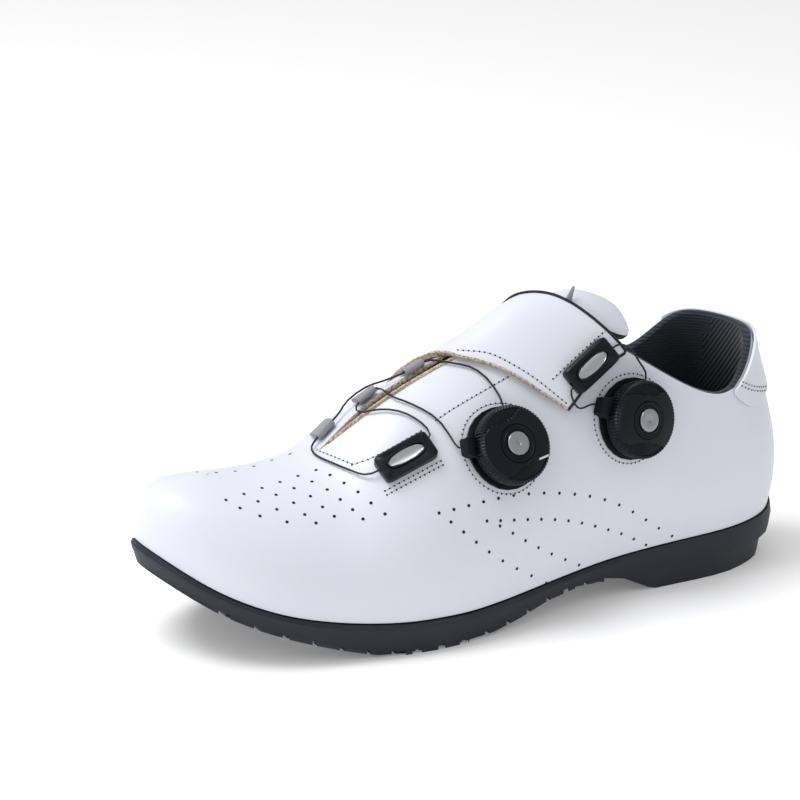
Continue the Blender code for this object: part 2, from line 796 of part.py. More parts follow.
# The heel tab and the stay below it: their heights on the wall, from the back round both sides
TAB_ROWS = (
    # station, lowest height, top height
    (0.0000, 0.640, 0.985),
    (0.0022, 0.641, 0.985),
    (0.0050, 0.645, 0.985),
    (0.0100, 0.652, 0.985),
    (0.0180, 0.662, 0.985),
    (0.0280, 0.673, 0.985),
    (0.0400, 0.683, 0.985),
    (0.0600, 0.710, 0.985),
    (0.082, 0.760, 0.985),
    (0.102, 0.870, 0.985),
    (0.116, 0.950, 0.985),
)
STAY_ROWS = (
    # station, lowest height, top height
    (0.0000, 0.10, 0.632),
    (0.0006, 0.10, 0.632),
    (0.0020, 0.11, 0.633),
)
TAB_COLUMNS = 6
TAB_GAP = GAP + 0.0002


def wall_patch(name, half_rows):
    """A thin piece on the back of the upper, the same on both sides."""
    rows = [(-float(station_angle(s)), low, high) for s, low, high in half_rows[:0:-1]]
    rows += [(float(station_angle(s)), low, high) for s, low, high in half_rows]
    grids = []
    for lift in (TAB_GAP, TAB_GAP + TAB_THICKNESS):
        grid = []
        for angle, low, high in rows:
            line = []
            for height in np.linspace(low, high, TAB_COLUMNS + 1):
                line.append(tuple(wall_point(angle, height) + wall_normal(angle, height) * lift))
            grid.append(line)
        grids.append(grid)
    return add_mesh(name, closed_grid(name, *grids), white)


# Small hard pieces, each set in a frame of its own: along, side and out of the surface
class Seat:
    """Where a small piece sits on a surface, and how the surface falls away under it."""

    def __init__(self, center, along, out, samples, reach):
        self.center = center
        self.out = out / np.linalg.norm(out)
        along = along - self.out * (along @ self.out)
        self.along = along / np.linalg.norm(along)
        self.side = np.cross(self.out, self.along)
        local = (np.array(samples) - center) @ np.array([self.along, self.side, self.out]).T
        near = local[(abs(local[:, 0]) < reach) & (abs(local[:, 1]) < reach)]
        near = near[abs(near[:, 2]) < reach]
        self.terms, *_ = np.linalg.lstsq(self.powers(near[:, 0], near[:, 1]), near[:, 2], rcond=None)

    @staticmethod
    def powers(u, v):
        u, v = np.atleast_1d(u) / 0.01, np.atleast_1d(v) / 0.01
        return np.stack([u**i * v**j for i in range(5) for j in range(5 - i)], axis=-1)

    def relief(self, u, v):
        """How far the surface stands out of the seat's plane at one place."""
        return float((self.powers(u, v) @ self.terms)[0])

    def point(self, u, v, w):
        return self.center + self.along * u + self.side * v + self.out * w

    def on(self, u, v, lift):
        return self.point(u, v, self.relief(u, v) + lift)


def wall_seat(station, height, reach, turn):
    """A seat on the outer wall, its long axis towards the toe and turned up from it in degrees."""
    angle = float(station_angle(station))
    samples = []
    for a in np.linspace(angle - 0.34, angle + 0.34, 31):
        for h in np.linspace(max(height - 0.45, 0), min(height + 0.45, 1), 31):
            samples.append(wall_point(a, h))
    toe = wall_point(angle + 0.02, height) - wall_point(angle - 0.02, height)
    up = wall_point(angle, height + 0.03) - wall_point(angle, height - 0.03)
    turn = math.radians(turn)
    along = toe / np.linalg.norm(toe) * math.cos(turn) + up / np.linalg.norm(up) * math.sin(turn)
    return Seat(wall_point(angle, height), along, wall_normal(angle, height), samples, reach)


def over_seat(front, rear, lift, reach):
    """A seat over the foot, its long axis from a rear place to a front one, both (station, mm)."""
    middle = [(a + b) / 2 for a, b in zip(front, rear)]
    samples = []
    for station in np.linspace(middle[0] - 0.07, middle[0] + 0.07, 21):
        for across in np.linspace(middle[1] - 17, middle[1] + 17, 21):
            samples.append(over_point(station, across * MM, lift))
    center = over_point(middle[0], middle[1] * MM, lift)
    along = over_point(front[0], front[1] * MM, lift) - over_point(rear[0], rear[1] * MM, lift)
    out = over_point(middle[0], middle[1] * MM, lift + 0.01) - center
    return Seat(center, along, out, samples, reach)


# The lace dials
DIAL_RADIUS = 0.0153
FLANGE_RADIUS = 0.0166
CORE_RADIUS = 0.0140
FLANGE_THICKNESS = 0.0012
DIAL_TURNS = 24
CAP_PROFILE = (
    # radius, height over the base
    (0.0146, 0.0000),
    (0.0153, 0.0006),
    (0.0153, 0.0062),
    (0.0145, 0.0078),
    (0.0122, 0.0086),
    (0.0085, 0.0076),
    (0.0046, 0.0074),
    (0.0038, 0.0084),
    (0.0022, 0.0086),
)
DIAL_REACH = 0.022
CABLE_LUG = (0.0158, 0.0192, 0.0045, 0.0052)


def turned(name, seat, rings):
    """A closed body through rings of points given as (radius, height function of u and v)."""
    turns = np.arange(DIAL_TURNS) * 2 * math.pi / DIAL_TURNS
    placed = []
    for radius, height in rings:
        ring = []
        for turn in turns:
            u, v = radius * math.cos(turn), radius * math.sin(turn)
            ring.append(tuple(seat.point(u, v, height(u, v))))
        placed.append(ring)
    return ring_loft(name, placed)


def dial(name, seat):
    """A dial's base, cut to the wall below it, and its cap. Returns the height of the base."""
    turns = np.linspace(0, 2 * math.pi, DIAL_TURNS, endpoint=False)
    ring = [seat.relief(DIAL_RADIUS * math.cos(t), DIAL_RADIUS * math.sin(t)) for t in turns]
    top = max(max(ring), 0.0) + GAP + FLANGE_THICKNESS + 0.0008

    def under(u, v):
        return seat.relief(u, v) + GAP

    def flange(u, v):
        return seat.relief(u, v) + GAP + FLANGE_THICKNESS

    rings = [(0.004, under), (0.009, under), (CORE_RADIUS, under), (FLANGE_RADIUS, under)]
    rings += [(FLANGE_RADIUS, flange), (CORE_RADIUS, flange), (CORE_RADIUS, lambda u, v: top)]
    rings.append((0.004, lambda u, v: top))
    base = add_mesh("dial_base_" + name, turned("dial_base_" + name, seat, rings), black)
    near, far, half, high = CABLE_LUG
    corners = [(near, -half), (far, -half * 0.7), (far, half * 0.7), (near, half)]
    lug = ring_loft(
        "cable_lug",
        [
            [tuple(seat.on(u, v, GAP + 0.0002)) for u, v in corners],
            [tuple(seat.point(u, v, high)) for u, v in corners],
        ],
    )
    boolean(base, add_cutter("cable_lug_" + name, lug), "UNION")
    low = top + GAP
    rings = [(radius, lambda u, v, h=height: low + h) for radius, height in CAP_PROFILE]
    add_mesh("dial_cap_" + name, turned("dial_cap_" + name, seat, rings), black)
    return top


# The lace guides, with an open slot and a channel for the lace
GUIDE_LENGTH = 0.0236
GUIDE_WIDTH = 0.0118
GUIDE_HEIGHT = 0.0036
GUIDE_BEVEL = 0.0008
GUIDE_ROUNDING = 0.24
GUIDE_REACH = 0.015
GUIDE_SLOT = (0.0168, 0.0056, 0.0010)
CHANNEL_RADIUS = 0.00095
CHANNEL_HEIGHT = 0.0019


def tube(name, points, radius, sides=8):
    """A straight tube between two points, as a cutter."""
    start, end = np.array(points[0]), np.array(points[1])
    axis = (end - start) / np.linalg.norm(end - start)
    side = np.cross(axis, (0.0, 0.0, 1.0))
    side /= np.linalg.norm(side)
    other = np.cross(axis, side)
    rings = []
    for center in (start, end):
        ring = []
        for turn in np.arange(sides) * 2 * math.pi / sides:
            ring.append(tuple(center + radius * (side * math.cos(turn) + other * math.sin(turn))))
        rings.append(ring)
    return add_cutter(name, ring_loft(name, rings))


def lace_guide(name, seat):
    length, width = GUIDE_LENGTH, GUIDE_WIDTH
    outline = rounded(length, width, GUIDE_ROUNDING, 24)
    top_edge = rounded(length - 2 * GUIDE_BEVEL, width - 2 * GUIDE_BEVEL, GUIDE_ROUNDING, 24)
    slot = rounded(GUIDE_SLOT[0], GUIDE_SLOT[1], 0.55, 24)
    rings = [
        [tuple(seat.on(u, v, GAP)) for u, v in rounded(length / 2, width / 2, 0.5, 24)],
        [tuple(seat.on(u, v, GAP)) for u, v in outline],
        [tuple(seat.point(u, v, GUIDE_HEIGHT - GUIDE_BEVEL)) for u, v in outline],
        [tuple(seat.point(u, v, GUIDE_HEIGHT)) for u, v in top_edge],
        [tuple(seat.point(u, v, GUIDE_HEIGHT)) for u, v in slot],
        [tuple(seat.point(u, v, GUIDE_SLOT[2])) for u, v in slot],
    ]
    body = add_mesh("lace_guide_" + name, ring_loft("lace_guide_" + name, rings), black)
    reach = length / 2 + 0.002
    ends = [seat.point(reach, 0, CHANNEL_HEIGHT), seat.point(-reach, 0, CHANNEL_HEIGHT)]
    boolean(body, tube("lace_channel_" + name, ends, CHANNEL_RADIUS), "DIFFERENCE")
    return body


# The webbing loops on the inner edge of the throat
LOOP_LENGTH = 0.0088
LOOP_RADIUS = 0.00175
LOOP_BORE = 0.00095
LOOP_REACH = 0.0105
LOOP_SEAT = 0.012
LOOP_SIDES = (
    # share of the reach behind the tip, height over the surface
    (1.00, 0.0000),
    (1.00, 0.0014),
    (0.60, 0.0024),
)


def lace_loop(name, seat):
    """A folded band round a bore for the lace. Its tip points to the outer side."""
    contour = [(-share * LOOP_REACH, height + GAP) for share, height in LOOP_SIDES]
    for turn in np.linspace(math.radians(110), math.radians(-90), 8):
        contour.append(
            (
                LOOP_RADIUS * math.cos(turn) - LOOP_RADIUS,
                LOOP_RADIUS * math.sin(turn) + LOOP_RADIUS + GAP,
            )
        )
    rings = []
    for u in (-LOOP_LENGTH / 2, LOOP_LENGTH / 2):
        rings.append([tuple(seat.on(u, v, w + 0.0001)) for v, w in contour])
    mesh = ring_loft("lace_loop_" + name, rings, caps=False)
    form = bmesh.new()
    form.from_mesh(mesh)
    bmesh.ops.holes_fill(form, edges=form.edges)
    form.to_mesh(mesh)
    form.free()
    body = add_mesh("lace_loop_" + name, outward(mesh), webbing)
    boolean(body, tube("loop_bore_" + name, loop_bore(seat, 0.001), LOOP_BORE), "DIFFERENCE")
    return body


def loop_bore(seat, beyond):
    """The ends of a loop's bore, from its front to its rear."""
    reach = LOOP_LENGTH / 2 + beyond
    lift = LOOP_RADIUS + GAP + 0.0001
    middle = seat.relief(0, -LOOP_RADIUS)
    return [seat.point(u, -LOOP_RADIUS, middle + lift) for u in (reach, -reach)]


def side_of(seat):
    """Turns a seat's side axis towards the outer side of the foot."""
    if seat.side[1] > 0:
        raise ValueError("the seat's side axis points to the inner side")
    return seat


# The laces
LACE_RADIUS = 0.0005
LACE_LIFT = LACE_RADIUS + GAP + 0.00015


def over_path(rows, step=0.0058):
    """Points over the foot through rows of station, across in mm, and lift over the surface."""
    points = []
    for start, end in zip(rows, rows[1:]):
        length = math.hypot((start[0] - end[0]) * LENGTH, (start[1] - end[1]) * MM)
        count = max(int(length / step), 1)
        for t in np.arange(count) / count:
            station, across, lift = (a * (1 - t) + b * t for a, b in zip(start, end))
            points.append(over_point(station, across * MM, lift))
    station, across, lift = rows[-1]
    points.append(over_point(station, across * MM, lift))
    return points


def cord(name, points, finish):
    curve = bpy.data.curves.new(name, "CURVE")
    curve.dimensions = "3D"
    curve.bevel_depth = LACE_RADIUS
    curve.bevel_resolution = 1
    curve.use_fill_caps = True
    spline = curve.splines.new("POLY")
    spline.points.add(len(points) - 1)
    for knot, point in zip(spline.points, points):
        knot.co = (*point, 1)
    curve.materials.append(finish)
    obj = bpy.data.objects.new(name, curve)
    parts.objects.link(obj)
    return obj


LACE_LOWER = (
    # station, across in mm, extra lift in mm: from the lower dial's lug to the middle loop
    (
        (0.600, 31.5, 0.2),
        (0.618, 22.5, 0.0),
        (0.636, 14.0, 0.0),
        (0.646, 9.5, 0.0),
        (0.6485, 5.0, 0.0),
    ),
    # from the middle loop to the lower guide's rear end
    (
        (0.690, 2.0, 0.0),
        (0.684, 6.0, 0.0),
        (0.667, 10.0, 0.0),
        (0.646, 17.0, 0.0),
        (0.632, 24.0, 0.0),
        (0.621, 31.0, 0.2),
    ),
    # from the lower guide's front end over the throat's front to the front loop
    (
        (0.720, 29.0, 0.2),
        (0.740, 17.9, 0.0),
        (0.757, 6.5, 0.0),
        (0.761, 0.5, 0.0),
        (0.754, -3.5, 0.5),
    ),
    # from the front loop over the root of the middle loop to the top loop
    (
        (0.695, -5.5, 0.6),
        (0.683, -6.3, 2.2),
        (0.650, -5.9, 2.2),
        (0.636, -3.0, 0.6),
        (0.622, 2.0, 0.8),
    ),
    # from the top loop over the outer edge to the lower dial
    (
        (0.572, 7.0, 0.4),
        (0.558, 11.5, 0.0),
        (0.538, 16.5, 0.0),
        (0.522, 24.0, 0.0),
    ),
)
LACE_UPPER = (
    # station, across in mm, extra lift in mm: from the upper dial over the strap's rear edge
    (
        (0.302, 35.2, 1.2),
        (0.310, 32.2, 2.0),
        (0.322, 30.4, 2.6),
        (0.331, 30.6, 2.5),
    ),
    # from the strap guide's front end over the strap's edge to the upper dial's lug
    (
        (0.4135, 47.0, 2.6),
        (0.4120, 49.8, 2.7),
        (0.4065, 52.6, 2.2),
        (0.3970, 53.8, 1.4),
    ),
)


def lifted(rows):
    return over_path([(station, across, LACE_LIFT + extra * MM) for station, across, extra in rows])


def guide_bore(seat, beyond=0.0012):
    """The ends of a guide's channel, from its rear to its front."""
    reach = GUIDE_LENGTH / 2 + beyond
    return [seat.point(u, 0, CHANNEL_HEIGHT) for u in (-reach, reach)]


def under_cap(seat):
    """Where a lace runs in under a dial's cap, from outside to inside."""
    lift = LACE_LIFT + FLANGE_THICKNESS + 0.0001
    side = 1 if seat.side[2] > 0 else -1
    return [seat.on(0, side * v, lift) for v in (FLANGE_RADIUS + 0.0030, CORE_RADIUS + 0.0010)]


def at_lug(seat):
    """Where a lace leaves a dial's cable lug, from inside to outside."""
    return [seat.on(CABLE_LUG[1] + u, 0, LACE_LIFT + 0.0006) for u in (0.0006, 0.0022)]


def laces():
    """Both laces, taut from dial to dial through loops and guides."""
    beyond = 0.0010
    points = at_lug(lower_dial)
    points += lifted(LACE_LOWER[0]) + loop_bore(mid_loop, beyond)[::-1]
    points += lifted(LACE_LOWER[1]) + guide_bore(lower_guide)
    points += lifted(LACE_LOWER[2]) + loop_bore(front_loop, beyond)
    points += lifted(LACE_LOWER[3]) + loop_bore(top_loop, beyond)
    points += lifted(LACE_LOWER[4]) + under_cap(lower_dial)
    cord("lace_lower", points, black)
    points = under_cap(upper_dial)[::-1] + lifted(LACE_UPPER[0])
    points += guide_bore(strap_guide) + lifted(LACE_UPPER[1]) + at_lug(upper_dial)[::-1]
    cord("lace_upper", points, black)


def clear_scene():
    for obj in list(bpy.data.objects):
        bpy.data.objects.remove(obj)
    for name in ("cycling_shoe", "cutters"):
        collection = bpy.data.collections.new(name)
        bpy.context.scene.collection.children.link(collection)
        yield collection


parts, cutters = clear_scene()
rubber = material("rubber", (0.020, 0.024, 0.032), 0.55)
white = material("white_microfibre", (0.80, 0.81, 0.86), 0.42)
lining = material("black_knit", (0.010, 0.013, 0.020), 0.90)
black = material("black_plastic", (0.018, 0.021, 0.028), 0.45)
grey = material("grey_plastic", (0.36, 0.37, 0.40), 0.50)
webbing = material("grey_webbing", (0.42, 0.43, 0.47), 0.80)
outsole()
cleat_cover()
insole()
upper()
tongue()
instep_strap()
wall_patch("heel_tab", TAB_ROWS)
wall_patch("back_stay", STAY_ROWS)
lower_dial = wall_seat(0.521, 0.537, DIAL_REACH, 22)
upper_dial = wall_seat(0.312, 0.668, DIAL_REACH, 2)
dial("lower", lower_dial)
dial("upper", upper_dial)
lower_guide = over_seat((0.699, 34.0), (0.627, 38.0), 0.0, GUIDE_REACH)
strap_guide = over_seat((0.4105, 44.3), (0.3435, 33.2), STRAP_TOP, GUIDE_REACH)
lace_guide("lower", lower_guide)
lace_guide("strap", strap_guide)
front_loop = side_of(over_seat((0.739, -2.5), (0.709, -2.5), 0.0, LOOP_SEAT))
mid_loop = side_of(over_seat((0.682, 2.0), (0.652, 2.0), 0.0, LOOP_SEAT))
top_loop = side_of(over_seat((0.616, 5.5), (0.586, 5.5), 0.0, LOOP_SEAT))
lace_loop("front", front_loop)
lace_loop("mid", mid_loop)
lace_loop("top", top_loop)
laces()
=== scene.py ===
# %% [markdown]
# # A low cycling shoe
# This lesson dresses a left cycling shoe: a white microfibre upper on a lugged rubber sole, closed
# by an instep strap and two lace dials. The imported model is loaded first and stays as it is. Each
# soft or moulded piece is then made again with the finish that the eye expects, in the same place.

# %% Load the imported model
import math

import bmesh
import bpy
import numpy as np
from mathutils import Matrix, Vector
from mathutils.bvhtree import BVHTree


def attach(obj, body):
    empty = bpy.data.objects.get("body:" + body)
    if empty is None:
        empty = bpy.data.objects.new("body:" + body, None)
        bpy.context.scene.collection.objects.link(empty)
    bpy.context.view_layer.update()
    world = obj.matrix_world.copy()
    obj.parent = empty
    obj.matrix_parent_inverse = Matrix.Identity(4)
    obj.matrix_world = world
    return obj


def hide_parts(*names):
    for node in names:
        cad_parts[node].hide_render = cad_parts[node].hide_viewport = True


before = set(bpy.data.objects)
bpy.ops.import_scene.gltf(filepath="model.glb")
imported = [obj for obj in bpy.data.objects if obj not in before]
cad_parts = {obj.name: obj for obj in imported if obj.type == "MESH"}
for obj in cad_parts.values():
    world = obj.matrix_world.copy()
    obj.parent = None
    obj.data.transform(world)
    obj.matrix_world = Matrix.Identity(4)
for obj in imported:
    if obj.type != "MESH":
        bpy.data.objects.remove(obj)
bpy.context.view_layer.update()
MM = 0.001
print("solids:", ", ".join(sorted(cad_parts)))

# %% [markdown]
# ## The camera
# The camera comes first, because holes and seams are placed where the photograph shows them: a ray
# from the camera through a spot of the picture meets the shoe at one point, and the detail sits
# there on the surface. A long lens stands 1.2 m away, a little above the shoe and rolled by 2
# degrees. Spots of the picture are counted in pixels, on a square of 800 by 800.

# %% Camera
PICTURE = 800
SENSOR = 36.0
LENS = 133.64
CAMERA_PLACE = Vector((-0.58939, -0.95618, 0.46231))
CAMERA_AIM = Vector((-0.01797, 0.02677, 0.07552))
CAMERA_ROLL = math.radians(1.945)

forward = (CAMERA_AIM - CAMERA_PLACE).normalized()
level_right = forward.cross(Vector((0, 0, 1))).normalized()
level_up = level_right.cross(forward)
camera_up = level_up * math.cos(CAMERA_ROLL) - level_right * math.sin(CAMERA_ROLL)
camera_right = forward.cross(camera_up)

lens = bpy.data.cameras.new("camera")
lens.lens = LENS
lens.sensor_width = SENSOR
camera = bpy.data.objects.new("camera", lens)
bpy.context.scene.collection.objects.link(camera)
turn = Matrix((camera_right, camera_up, -forward)).transposed().to_4x4()
camera.matrix_world = Matrix.Translation(CAMERA_PLACE) @ turn
bpy.context.scene.camera = camera


def sight(x, y):
    """The direction in which the camera sees a spot of the picture."""
    reach = SENSOR / LENS / PICTURE
    aside = camera_right * (x - PICTURE / 2) * reach
    above = camera_up * (PICTURE / 2 - y) * reach
    return (forward + aside + above).normalized()


print("camera stands", round((CAMERA_AIM - CAMERA_PLACE).length, 3), "m away")

# %% [markdown]
# ## Floor and light
# White shoes on white need the light to come from behind and above, so that the side towards us
# falls off softly to grey and a pale shadow lies under the toe. A bright sky does most of it, and
# two large soft boxes give the shape.

# %% Floor and light
FLOOR_HALF = 6.0
SKY = 0.60
FLOOR_GLOW = 0.14

form = bmesh.new()
bmesh.ops.create_grid(form, x_segments=1, y_segments=1, size=FLOOR_HALF)
floor_mesh = bpy.data.meshes.new("floor")
form.to_mesh(floor_mesh)
form.free()
floor = bpy.data.objects.new("floor", floor_mesh)
bpy.context.scene.collection.objects.link(floor)
paper = bpy.data.materials.new("pale_floor")
paper.use_nodes = True
paper_shader = paper.node_tree.nodes["Principled BSDF"]
paper_shader.inputs["Base Color"].default_value = (1.0, 1.0, 1.0, 1)
paper_shader.inputs["Roughness"].default_value = 0.9
paper_shader.inputs["Emission Color"].default_value = (1, 1, 1, 1)
paper_shader.inputs["Emission Strength"].default_value = FLOOR_GLOW
floor_mesh.materials.append(paper)

world = bpy.data.worlds.new("studio")
world.use_nodes = True
world.node_tree.nodes["Background"].inputs["Color"].default_value = (1.0, 1.0, 1.0, 1)
world.node_tree.nodes["Background"].inputs["Strength"].default_value = SKY
bpy.context.scene.world = world
bpy.context.scene.view_settings.view_transform = "Standard"


def soft_box(name, place, size, power):
    """A large square lamp that faces the shoe."""
    lamp = bpy.data.lights.new(name, "AREA")
    lamp.size = size
    lamp.energy = power
    obj = bpy.data.objects.new(name, lamp)
    bpy.context.scene.collection.objects.link(obj)
    away = Vector(place)
    obj.matrix_world = Matrix.Translation(away) @ away.to_track_quat("Z", "Y").to_matrix().to_4x4()
    return obj


soft_box("top_box", (-0.62, 0.28, 1.25), 0.7, 12.0)
soft_box("left_box", (-1.2, -0.1, 0.7), 0.9, 2.0)

# %% [markdown]
# ## Finishes
# Each effect that several materials share is a node group with named sockets: the soft grain of the
# microfibre, the ribs of a knit, the plain weave of webbing and the dust that settles on rubber. A
# group gives only heights, masks and shades. The Principled shader stays in each material.

# %% Helpers for node groups
CLOTH_GRAIN = 2600.0


def group(name, inputs, outputs):
    """An empty node group. Returns it with its input and output nodes."""
    made = bpy.data.node_groups.new(name, "ShaderNodeTree")
    for socket, value in inputs:
        kind = "NodeSocketVector" if value is None else "NodeSocketFloat"
        new = made.interface.new_socket(socket, in_out="INPUT", socket_type=kind)
        if value is not None:
            new.default_value = value
    for socket in outputs:
        made.interface.new_socket(socket, in_out="OUTPUT", socket_type="NodeSocketFloat")
    return made, made.nodes.new("NodeGroupInput"), made.nodes.new("NodeGroupOutput")


def node(tree, kind, settings=None, values=None, links=None):
    """One node of a tree. links name an input and the output that feeds it."""
    made = tree.nodes.new(kind)
    for key, value in (settings or {}).items():
        setattr(made, key, value)
    for key, value in (values or {}).items():
        made.inputs[key].default_value = value
    for key, source in (links or {}).items():
        tree.links.new(source, made.inputs[key])
    return made


def math_node(tree, operation, first, second):
    """A Math node between two outputs or numbers."""
    made = tree.nodes.new("ShaderNodeMath")
    made.operation = operation
    for slot, value in enumerate((first, second)):
        if isinstance(value, (int, float)):
            made.inputs[slot].default_value = value
        else:
            tree.links.new(value, made.inputs[slot])
    return made.outputs[0]


# %% Soft grain, as on coated microfibre
def soft_grain():
    tree, start, end = group(
        "soft_grain", [("Vector", None), ("Scale", 900.0)], ["Height", "Shade"]
    )
    vector, scale = start.outputs["Vector"], start.outputs["Scale"]
    pores = node(
        tree,
        "ShaderNodeTexVoronoi",
        {"feature": "SMOOTH_F1"},
        {"Smoothness": 0.6},
        {"Vector": vector, "Scale": scale},
    )
    pull, cloud = (
        node(tree, "ShaderNodeTexNoise", None, {"Scale": size, "Detail": detail}, {"Vector": vector})
        for size, detail in ((55.0, 3.0), (14.0, 2.0))
    )
    deep = math_node(tree, "MULTIPLY", pull.outputs["Fac"], 1.6)
    tree.links.new(math_node(tree, "ADD", pores.outputs["Distance"], deep), end.inputs["Height"])
    tree.links.new(cloud.outputs["Fac"], end.inputs["Shade"])
    return tree


# %% Ribs, as on knitted lining
def ribbed_knit():
    tree, start, end = group(
        "ribbed_knit", [("Vector", None), ("Scale", 90.0)], ["Height", "Shade"]
    )
    vector, scale = start.outputs["Vector"], start.outputs["Scale"]
    ribs = node(
        tree,
        "ShaderNodeTexWave",
        {"wave_type": "BANDS", "bands_direction": "Z", "wave_profile": "SIN"},
        {"Distortion": 0.35, "Detail": 1.0, "Detail Scale": 1.5},
        {"Vector": vector, "Scale": scale},
    )
    yarn = node(
        tree, "ShaderNodeTexNoise", None, {"Scale": CLOTH_GRAIN, "Detail": 1.0}, {"Vector": vector}
    )
    fuzz = math_node(tree, "MULTIPLY", yarn.outputs["Fac"], 0.5)
    tree.links.new(math_node(tree, "ADD", ribs.outputs["Fac"], fuzz), end.inputs["Height"])
    tree.links.new(ribs.outputs["Fac"], end.inputs["Shade"])
    return tree


# %% Plain weave, as on webbing and braid
def plain_weave():
    tree, start, end = group(
        "plain_weave", [("Vector", None), ("Scale", 500.0)], ["Height", "Shade"]
    )
    vector, scale = start.outputs["Vector"], start.outputs["Scale"]
    threads = []
    for direction in ("X", "DIAGONAL"):
        wave = node(
            tree,
            "ShaderNodeTexWave",
            {"wave_type": "BANDS", "bands_direction": direction},
            {"Distortion": 0.6},
            {"Vector": vector, "Scale": scale},
        )
        threads.append(wave.outputs["Fac"])
    crossing = math_node(tree, "MULTIPLY", *threads)
    tree.links.new(crossing, end.inputs["Height"])
    tree.links.new(crossing, end.inputs["Shade"])
    return tree


# %% Dust and worn edges, as on moulded rubber
def worn_edge():
    tree, start, end = group("worn_edge", [("Vector", None), ("Wear", 0.5)], ["Edge", "Dust"])
    shape = node(tree, "ShaderNodeNewGeometry")
    patches = node(
        tree, "ShaderNodeTexNoise", None, {"Scale": 70.0, "Detail": 4.0},
        {"Vector": start.outputs["Vector"]},
    )
    sharp = math_node(tree, "SUBTRACT", shape.outputs["Pointiness"], 0.52)
    sharp = math_node(tree, "MULTIPLY", sharp, 9.0)
    broken = math_node(tree, "MULTIPLY", sharp, patches.outputs["Fac"])
    edge = math_node(tree, "MULTIPLY", broken, start.outputs["Wear"])
    limit = tree.nodes.new("ShaderNodeClamp")
    tree.links.new(edge, limit.inputs["Value"])
    tree.links.new(limit.outputs["Result"], end.inputs["Edge"])
    tree.links.new(patches.outputs["Fac"], end.inputs["Dust"])
    return tree


# %% Loose fibres, as on a raw cut
def loose_fibre():
    tree, start, end = group(
        "loose_fibre", [("Vector", None), ("Scale", 900.0)], ["Height", "Shade"]
    )
    vector, scale = start.outputs["Vector"], start.outputs["Scale"]
    tufts = node(
        tree, "ShaderNodeTexNoise", None, {"Detail": 3.0, "Roughness": 0.65},
        {"Vector": vector, "Scale": scale},
    )
    spread = node(
        tree, "ShaderNodeMapRange", None, {"From Min": 0.35, "From Max": 0.65},
        {"Value": tufts.outputs["Fac"]},
    )
    for socket in ("Height", "Shade"):
        tree.links.new(spread.outputs["Result"], end.inputs[socket])
    return tree


GRAIN = soft_grain()
FIBRE = loose_fibre()
KNIT = ribbed_knit()
WEAVE = plain_weave()
WEAR = worn_edge()
print("effects:", ", ".join(tree.name for tree in (GRAIN, FIBRE, KNIT, WEAVE, WEAR)))


# %% [markdown]
# A finish is one Principled shader with the piece's colour, and one of those groups turned into a
# little bump, a shift between two near colours and a shift in roughness. All patterns read Object
# coordinates, in metres, so a scale of 900 makes a grain of about one millimetre.

# %% One recipe for every finish
def finish(
    name, dark, light, rough, effect, scale, bump, fixed=None, turned=(0, 0, 0), contrast=1.0
):
    """A material between two near colours, with the effect's height as bump so many metres deep."""
    made = bpy.data.materials.new(name)
    made.use_nodes = True
    tree = made.node_tree
    shader = tree.nodes["Principled BSDF"]
    for socket, value in (fixed or {}).items():
        shader.inputs[socket].default_value = value
    place = tree.nodes.new("ShaderNodeTexCoord")
    mapping = node(
        tree, "ShaderNodeMapping", None, {"Rotation": turned}, {"Vector": place.outputs["Object"]}
    )
    pattern = tree.nodes.new("ShaderNodeGroup")
    pattern.node_tree = effect
    tree.links.new(mapping.outputs["Vector"], pattern.inputs["Vector"])
    if "Scale" in pattern.inputs:
        pattern.inputs["Scale"].default_value = scale
    height, shade = pattern.outputs[0], pattern.outputs[1]
    amount = math_node(tree, "MULTIPLY", shade, contrast)
    tone = node(tree, "ShaderNodeMix", {"data_type": "RGBA"}, None, {"Factor": amount})
    tone.inputs[6].default_value = (*dark, 1)
    tone.inputs[7].default_value = (*light, 1)
    tree.links.new(tone.outputs[2], shader.inputs["Base Color"])
    gloss = node(
        tree, "ShaderNodeMapRange", None, {"To Min": rough[0], "To Max": rough[1]}, {"Value": shade}
    )
    tree.links.new(gloss.outputs["Result"], shader.inputs["Roughness"])
    relief = node(
        tree, "ShaderNodeBump", None, {"Strength": 1.0, "Distance": bump}, {"Height": height}
    )
    tree.links.new(relief.outputs["Normal"], shader.inputs["Normal"])
    return made


def moulded(name, base, worn, rough, wear, grain_depth, fixed=None):
    """Rubber or plastic: a fine moulded grain, and edges rubbed a little lighter."""
    made = finish(name, base, base, rough, GRAIN, 1500.0, grain_depth, fixed)
    tree = made.node_tree
    shader = tree.nodes["Principled BSDF"]
    place = next(n for n in tree.nodes if n.bl_idname == "ShaderNodeTexCoord")
    rubbed = tree.nodes.new("ShaderNodeGroup")
    rubbed.node_tree = WEAR
    rubbed.inputs["Wear"].default_value = wear
    tree.links.new(place.outputs["Object"], rubbed.inputs["Vector"])
    tone = node(
        tree, "ShaderNodeMix", {"data_type": "RGBA"}, None, {"Factor": rubbed.outputs["Edge"]}
    )
    tone.inputs[6].default_value = (*base, 1)
    tone.inputs[7].default_value = (*worn, 1)
    tree.links.new(tone.outputs[2], shader.inputs["Base Color"])
    return made


